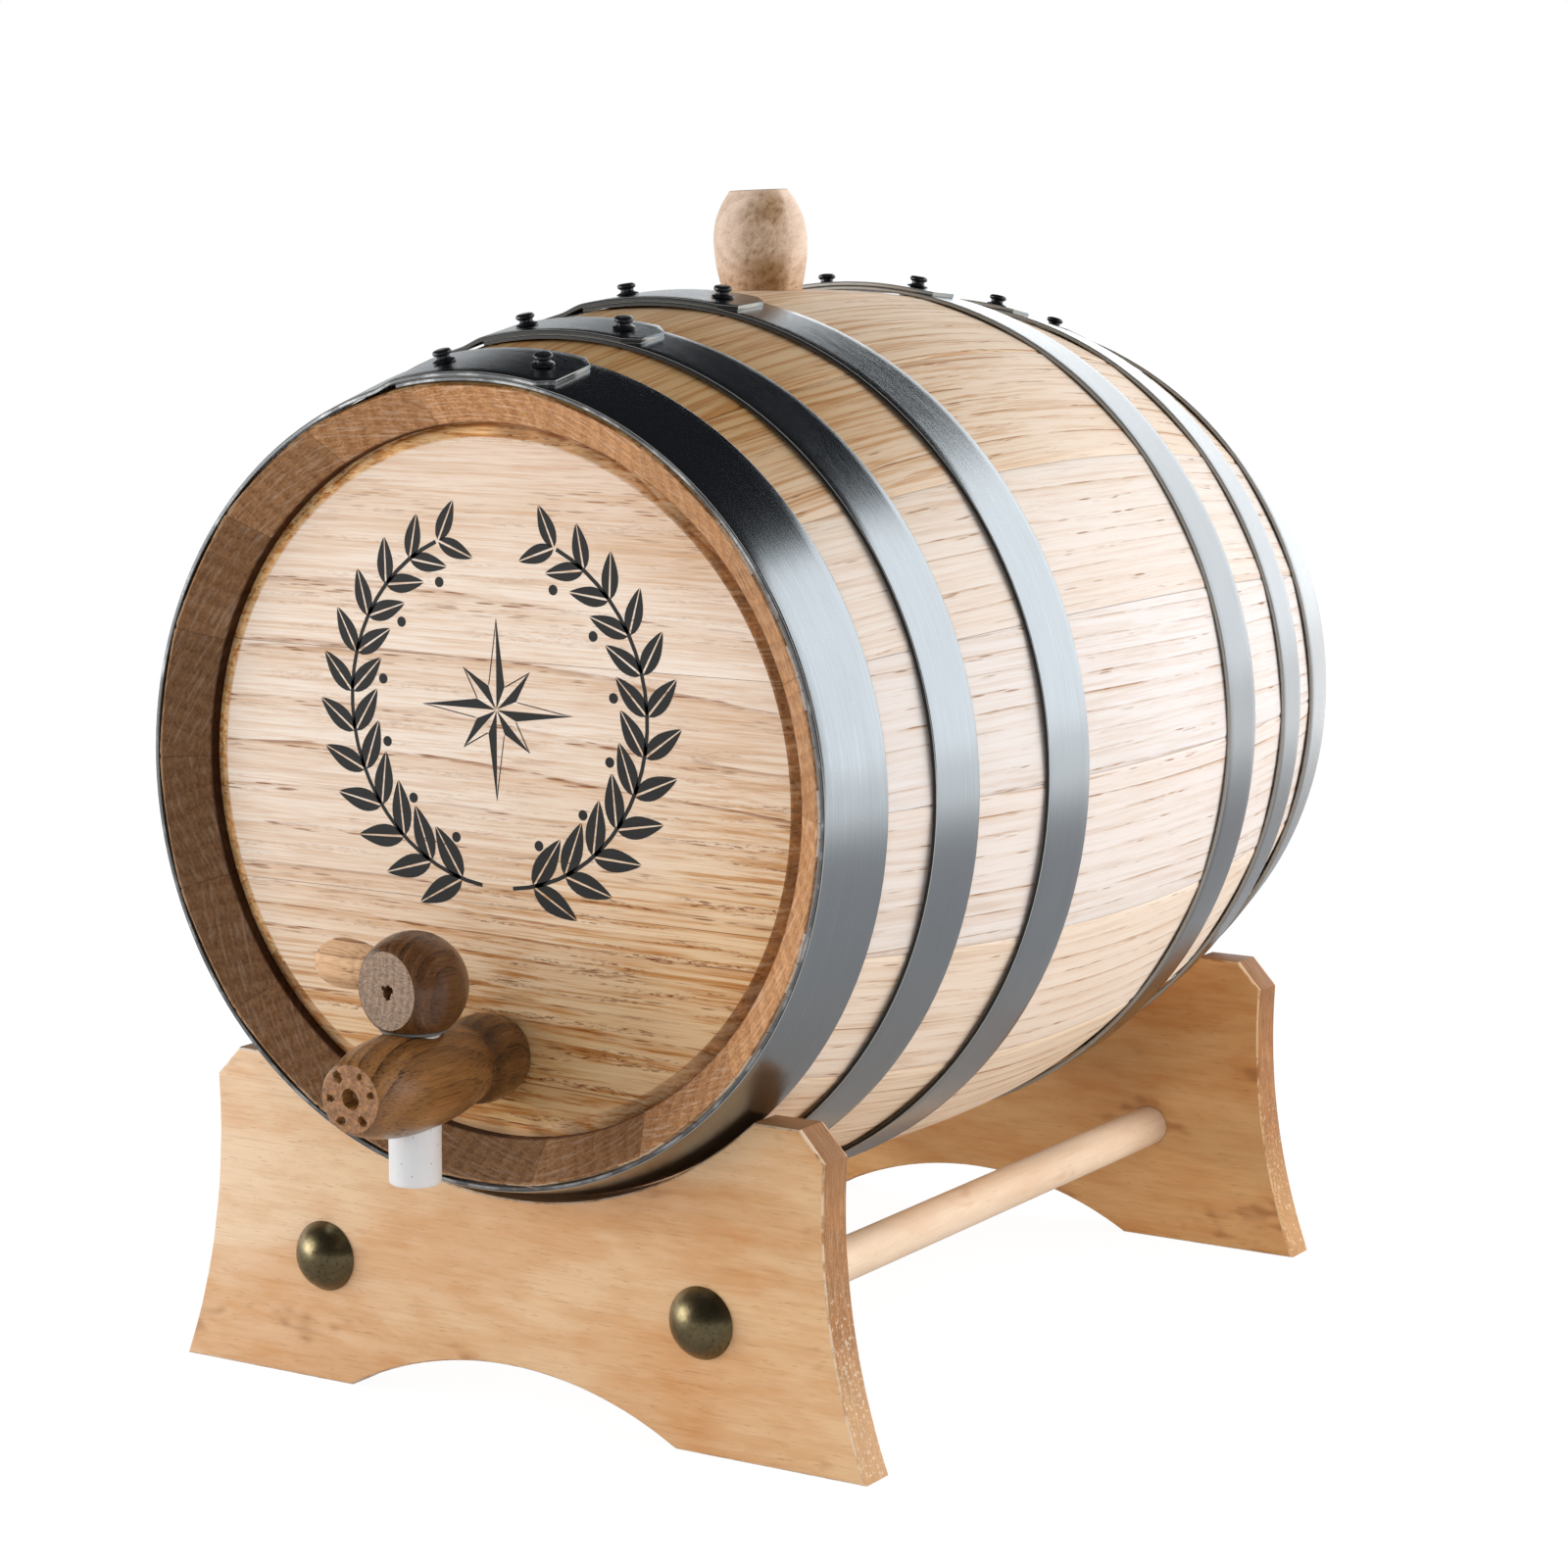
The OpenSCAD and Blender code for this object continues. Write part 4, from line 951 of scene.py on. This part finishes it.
cap_piece = form("stand_caps_brass", caps, "stand", ["stand_caps"], sharp=40)
antique = bpy.data.materials.new("cap_brass")
where = blank(antique).place()
patina = where.scaled(0.28, 0.28, 0.28).cloud(4.0, 0.65)
spots = where.scaled(1.1, 1.1, 1.1).cloud(4.0, 0.7)
skin = (patina.step(0.3, 0.7) * 0.45).over(rgb(128, 117, 88), rgb(90, 80, 55))
skin = (spots.step(0.5, 0.7) * 0.6).over(skin, rgb(58, 50, 33))
skin.surface(0.25 + spots * 0.16, spots + patina * 0.5, 0.14, {"Metallic": 0.95}, 0.0001)
cap_piece.data.materials.append(antique)

# ---- Printed wreath ----
# A plain wreath of leaves and berries with a star in it, printed in black on the front head.
# The ink lies on the sanded wood and is worn thin where the wood's pores are open.
wreath_up, wreath_r, ink_t = 16.0, 39.0, 0.05
ink = bmesh.new()


def print_shape(points):
    """One inked shape, as a film on the head; points are (x, up) in mm."""
    sweep([[on_cask(x, up, h) for x, up in points] for h in (face_a - 0.02, face_a + ink_t)], ink)


def on_wreath(r, way, side=1):
    """A point of the print, given from the middle of the wreath."""
    return Vector((side * r * cos(way), wreath_up + r * sin(way)))


def leaf(x, up, way, long, wide):
    """A pointed leaf in two halves, with a bare rib between them."""
    c, s = cos(way), sin(way)
    for half in (-1, 1):
        rim = [(long * t, half * (0.28 + wide / 2 * sin(pi * t ** 0.8))) for t in
               [j / 10 for j in range(1, 10)]]
        shape = [(0.02 * long, half * 0.25)] + rim + [(long, half * 0.12)]
        shape += [(long * 0.6, half * 0.2), (long * 0.3, half * 0.25)]
        print_shape([(x + c * u - s * v, up + s * u + c * v) for u, v in shape])


def dot(x, up, r, steps=16):
    print_shape([(x + r * cos(2 * pi * j / steps), up + r * sin(2 * pi * j / steps))
                 for j in range(steps)])


# An eight-pointed star in the middle: one half of each point is inked, the other only outlined
for j in range(8):
    t = pi * j / 4
    far, near = (20.0 if j % 2 == 0 else 12.5), 5.6
    tip, heart, one, other = [on_wreath(r, way) for r, way in (
        (far, t), (0.25, t), (near, t - pi / 8), (near, t + pi / 8))]
    print_shape([heart, one, tip])
    inward = (heart + tip + other) / 3
    print_shape([tip, other, other + (inward - other) * 0.22, tip + (inward - tip) * 0.22])

for side in (-1, 1):
    stem = [on_wreath(wreath_r, radians(-84 + 150 * j / 24), side) for j in range(25)]
    for a, b in zip(stem, stem[1:]):
        n = Vector((b.y - a.y, a.x - b.x)).normalized() * 0.45
        print_shape([a + n, b + n, b - n, a - n])
    for j in range(12):
        t = radians(-76 + 143 * j / 11)
        x, up = on_wreath(wreath_r, t, side)
        along = atan2(cos(t), side * -sin(t))
        for lean in (-1, 1):
            leaf(x, up, along + lean * 0.75, 13.0 - 0.3 * j, 4.8 - 0.12 * j)
        if j % 2 == 0 and j < 11:
            dot(*on_wreath(wreath_r - 8.2, t + 0.12, side), 1.15)
wreath = form("printed_wreath", ink, "cask", [], sharp=30)
black_ink = bpy.data.materials.new("printing_ink")
thin = blank(black_ink).place().scaled(0.08, 1.4, 1.4).cloud(3.0, 0.65)
(thin.step(0.62, 0.8) * 0.4).over(rgb(12, 11, 11), rgb(96, 74, 54)).surface(
    0.6 + thin * 0.15, thin, 0.15, deep=0.0001)
wreath.data.materials.append(black_ink)

# ---- Floor and light ----
# A wide white floor and a white surround. A big soft lamp behind on the right lights the side of
# the cask and another in front on the left lights the head. What the steel mirrors is a room
# that is bright low down behind it and at the left, and dark above.
floor_half, floor_z = 6, -0.0001
floor_mesh = bpy.data.meshes.new("floor")
floor_mesh.from_pydata([(x * floor_half, y * floor_half, floor_z)
                        for x, y in ((-1, -1), (1, -1), (1, 1), (-1, 1))], [], [(0, 1, 2, 3)])
floor = placed("floor", floor_mesh)
paper = bpy.data.materials.new("floor_paper")
sheet = blank(paper)
looked_at, mirrored = (sheet.node("LightPath", out=ray) for ray in ("Is Camera Ray", "Is Glossy Ray"))
lit = sheet.node("BsdfDiffuse", {}, {"Color": mirrored.over((0.82, 0.82, 0.82, 1), (0.6, 0.6, 0.61, 1))})
bright = sheet.node("Emission", {}, {"Color": (1, 1, 1, 1), "Strength": 1.1 + mirrored * 0.5})
reach = sheet.node("VectorMath", {"operation": "LENGTH"}, {0: sheet.node("TexCoord", out=3)}, 1)
mixed = lit.node("MixShader", {}, {0: looked_at * 0.86 + mirrored * reach.step(0.45, 1.1), 1: lit,
                                   2: bright})
mixed.node("OutputMaterial", {}, {"Surface": mixed})
floor_mesh.materials.append(paper)

room = bpy.data.worlds.new("room")
air = blank(room)
bpy.context.scene.world = room
looked_at, seen_through, mirrored = (air.node("LightPath", out=ray) for ray in (
    "Is Camera Ray", "Is Transmission Ray", "Is Glossy Ray"))
side, back, up = air.node("TexCoord", out=0).axes()
low = (up - side * 0.25).step(0.56, 0.5)
behind = back.step(0.1, 0.4) * (1 - 0.68 * side.step(-0.44, -0.52) * back.step(0.9, 0.8))
window = side.step(-0.62, -0.82) * back.step(0.5, 0.3)
glow = low * behind.sum("MAXIMUM", behind, window)
mirrored_room = glow.over((0.014, 0.015, 0.018, 1), (2.12, 2.15, 2.17, 1))
colour = mirrored.over((0.66, 0.66, 0.67, 1), mirrored_room)
colour = air.sum("MAXIMUM", looked_at, seen_through).over(colour, (1, 1, 1, 1))
shown = colour.node("Background", {}, {"Color": colour, "Strength": 1.0})
shown.node("OutputWorld", {}, {"Surface": shown})


def lamp(name, place, aim, wide, high, watts, colour):
    light = bpy.data.lights.new(name, "AREA")
    light.shape, light.size, light.size_y = "RECTANGLE", wide, high
    light.energy, light.color = watts, colour
    made = placed(name, light)
    made.location = place
    made.rotation_euler = (Vector(aim) - Vector(place)).to_track_quat("-Z", "Y").to_euler()
    return made


right_lamp = lamp("window_right", (1.7, 0.75, 0.75), (0.0, 0.0, 0.12), 1.6, 1.3, 23, (1.0, 0.99, 0.97))
right_lamp.visible_glossy = False
lamp("window_left", (-1.75, -1.35, 0.5), (0.0, 0.0, 0.12), 1.3, 1.0, 24, (1.0, 0.99, 0.97))

bpy.context.scene.view_settings.view_transform = "Standard"
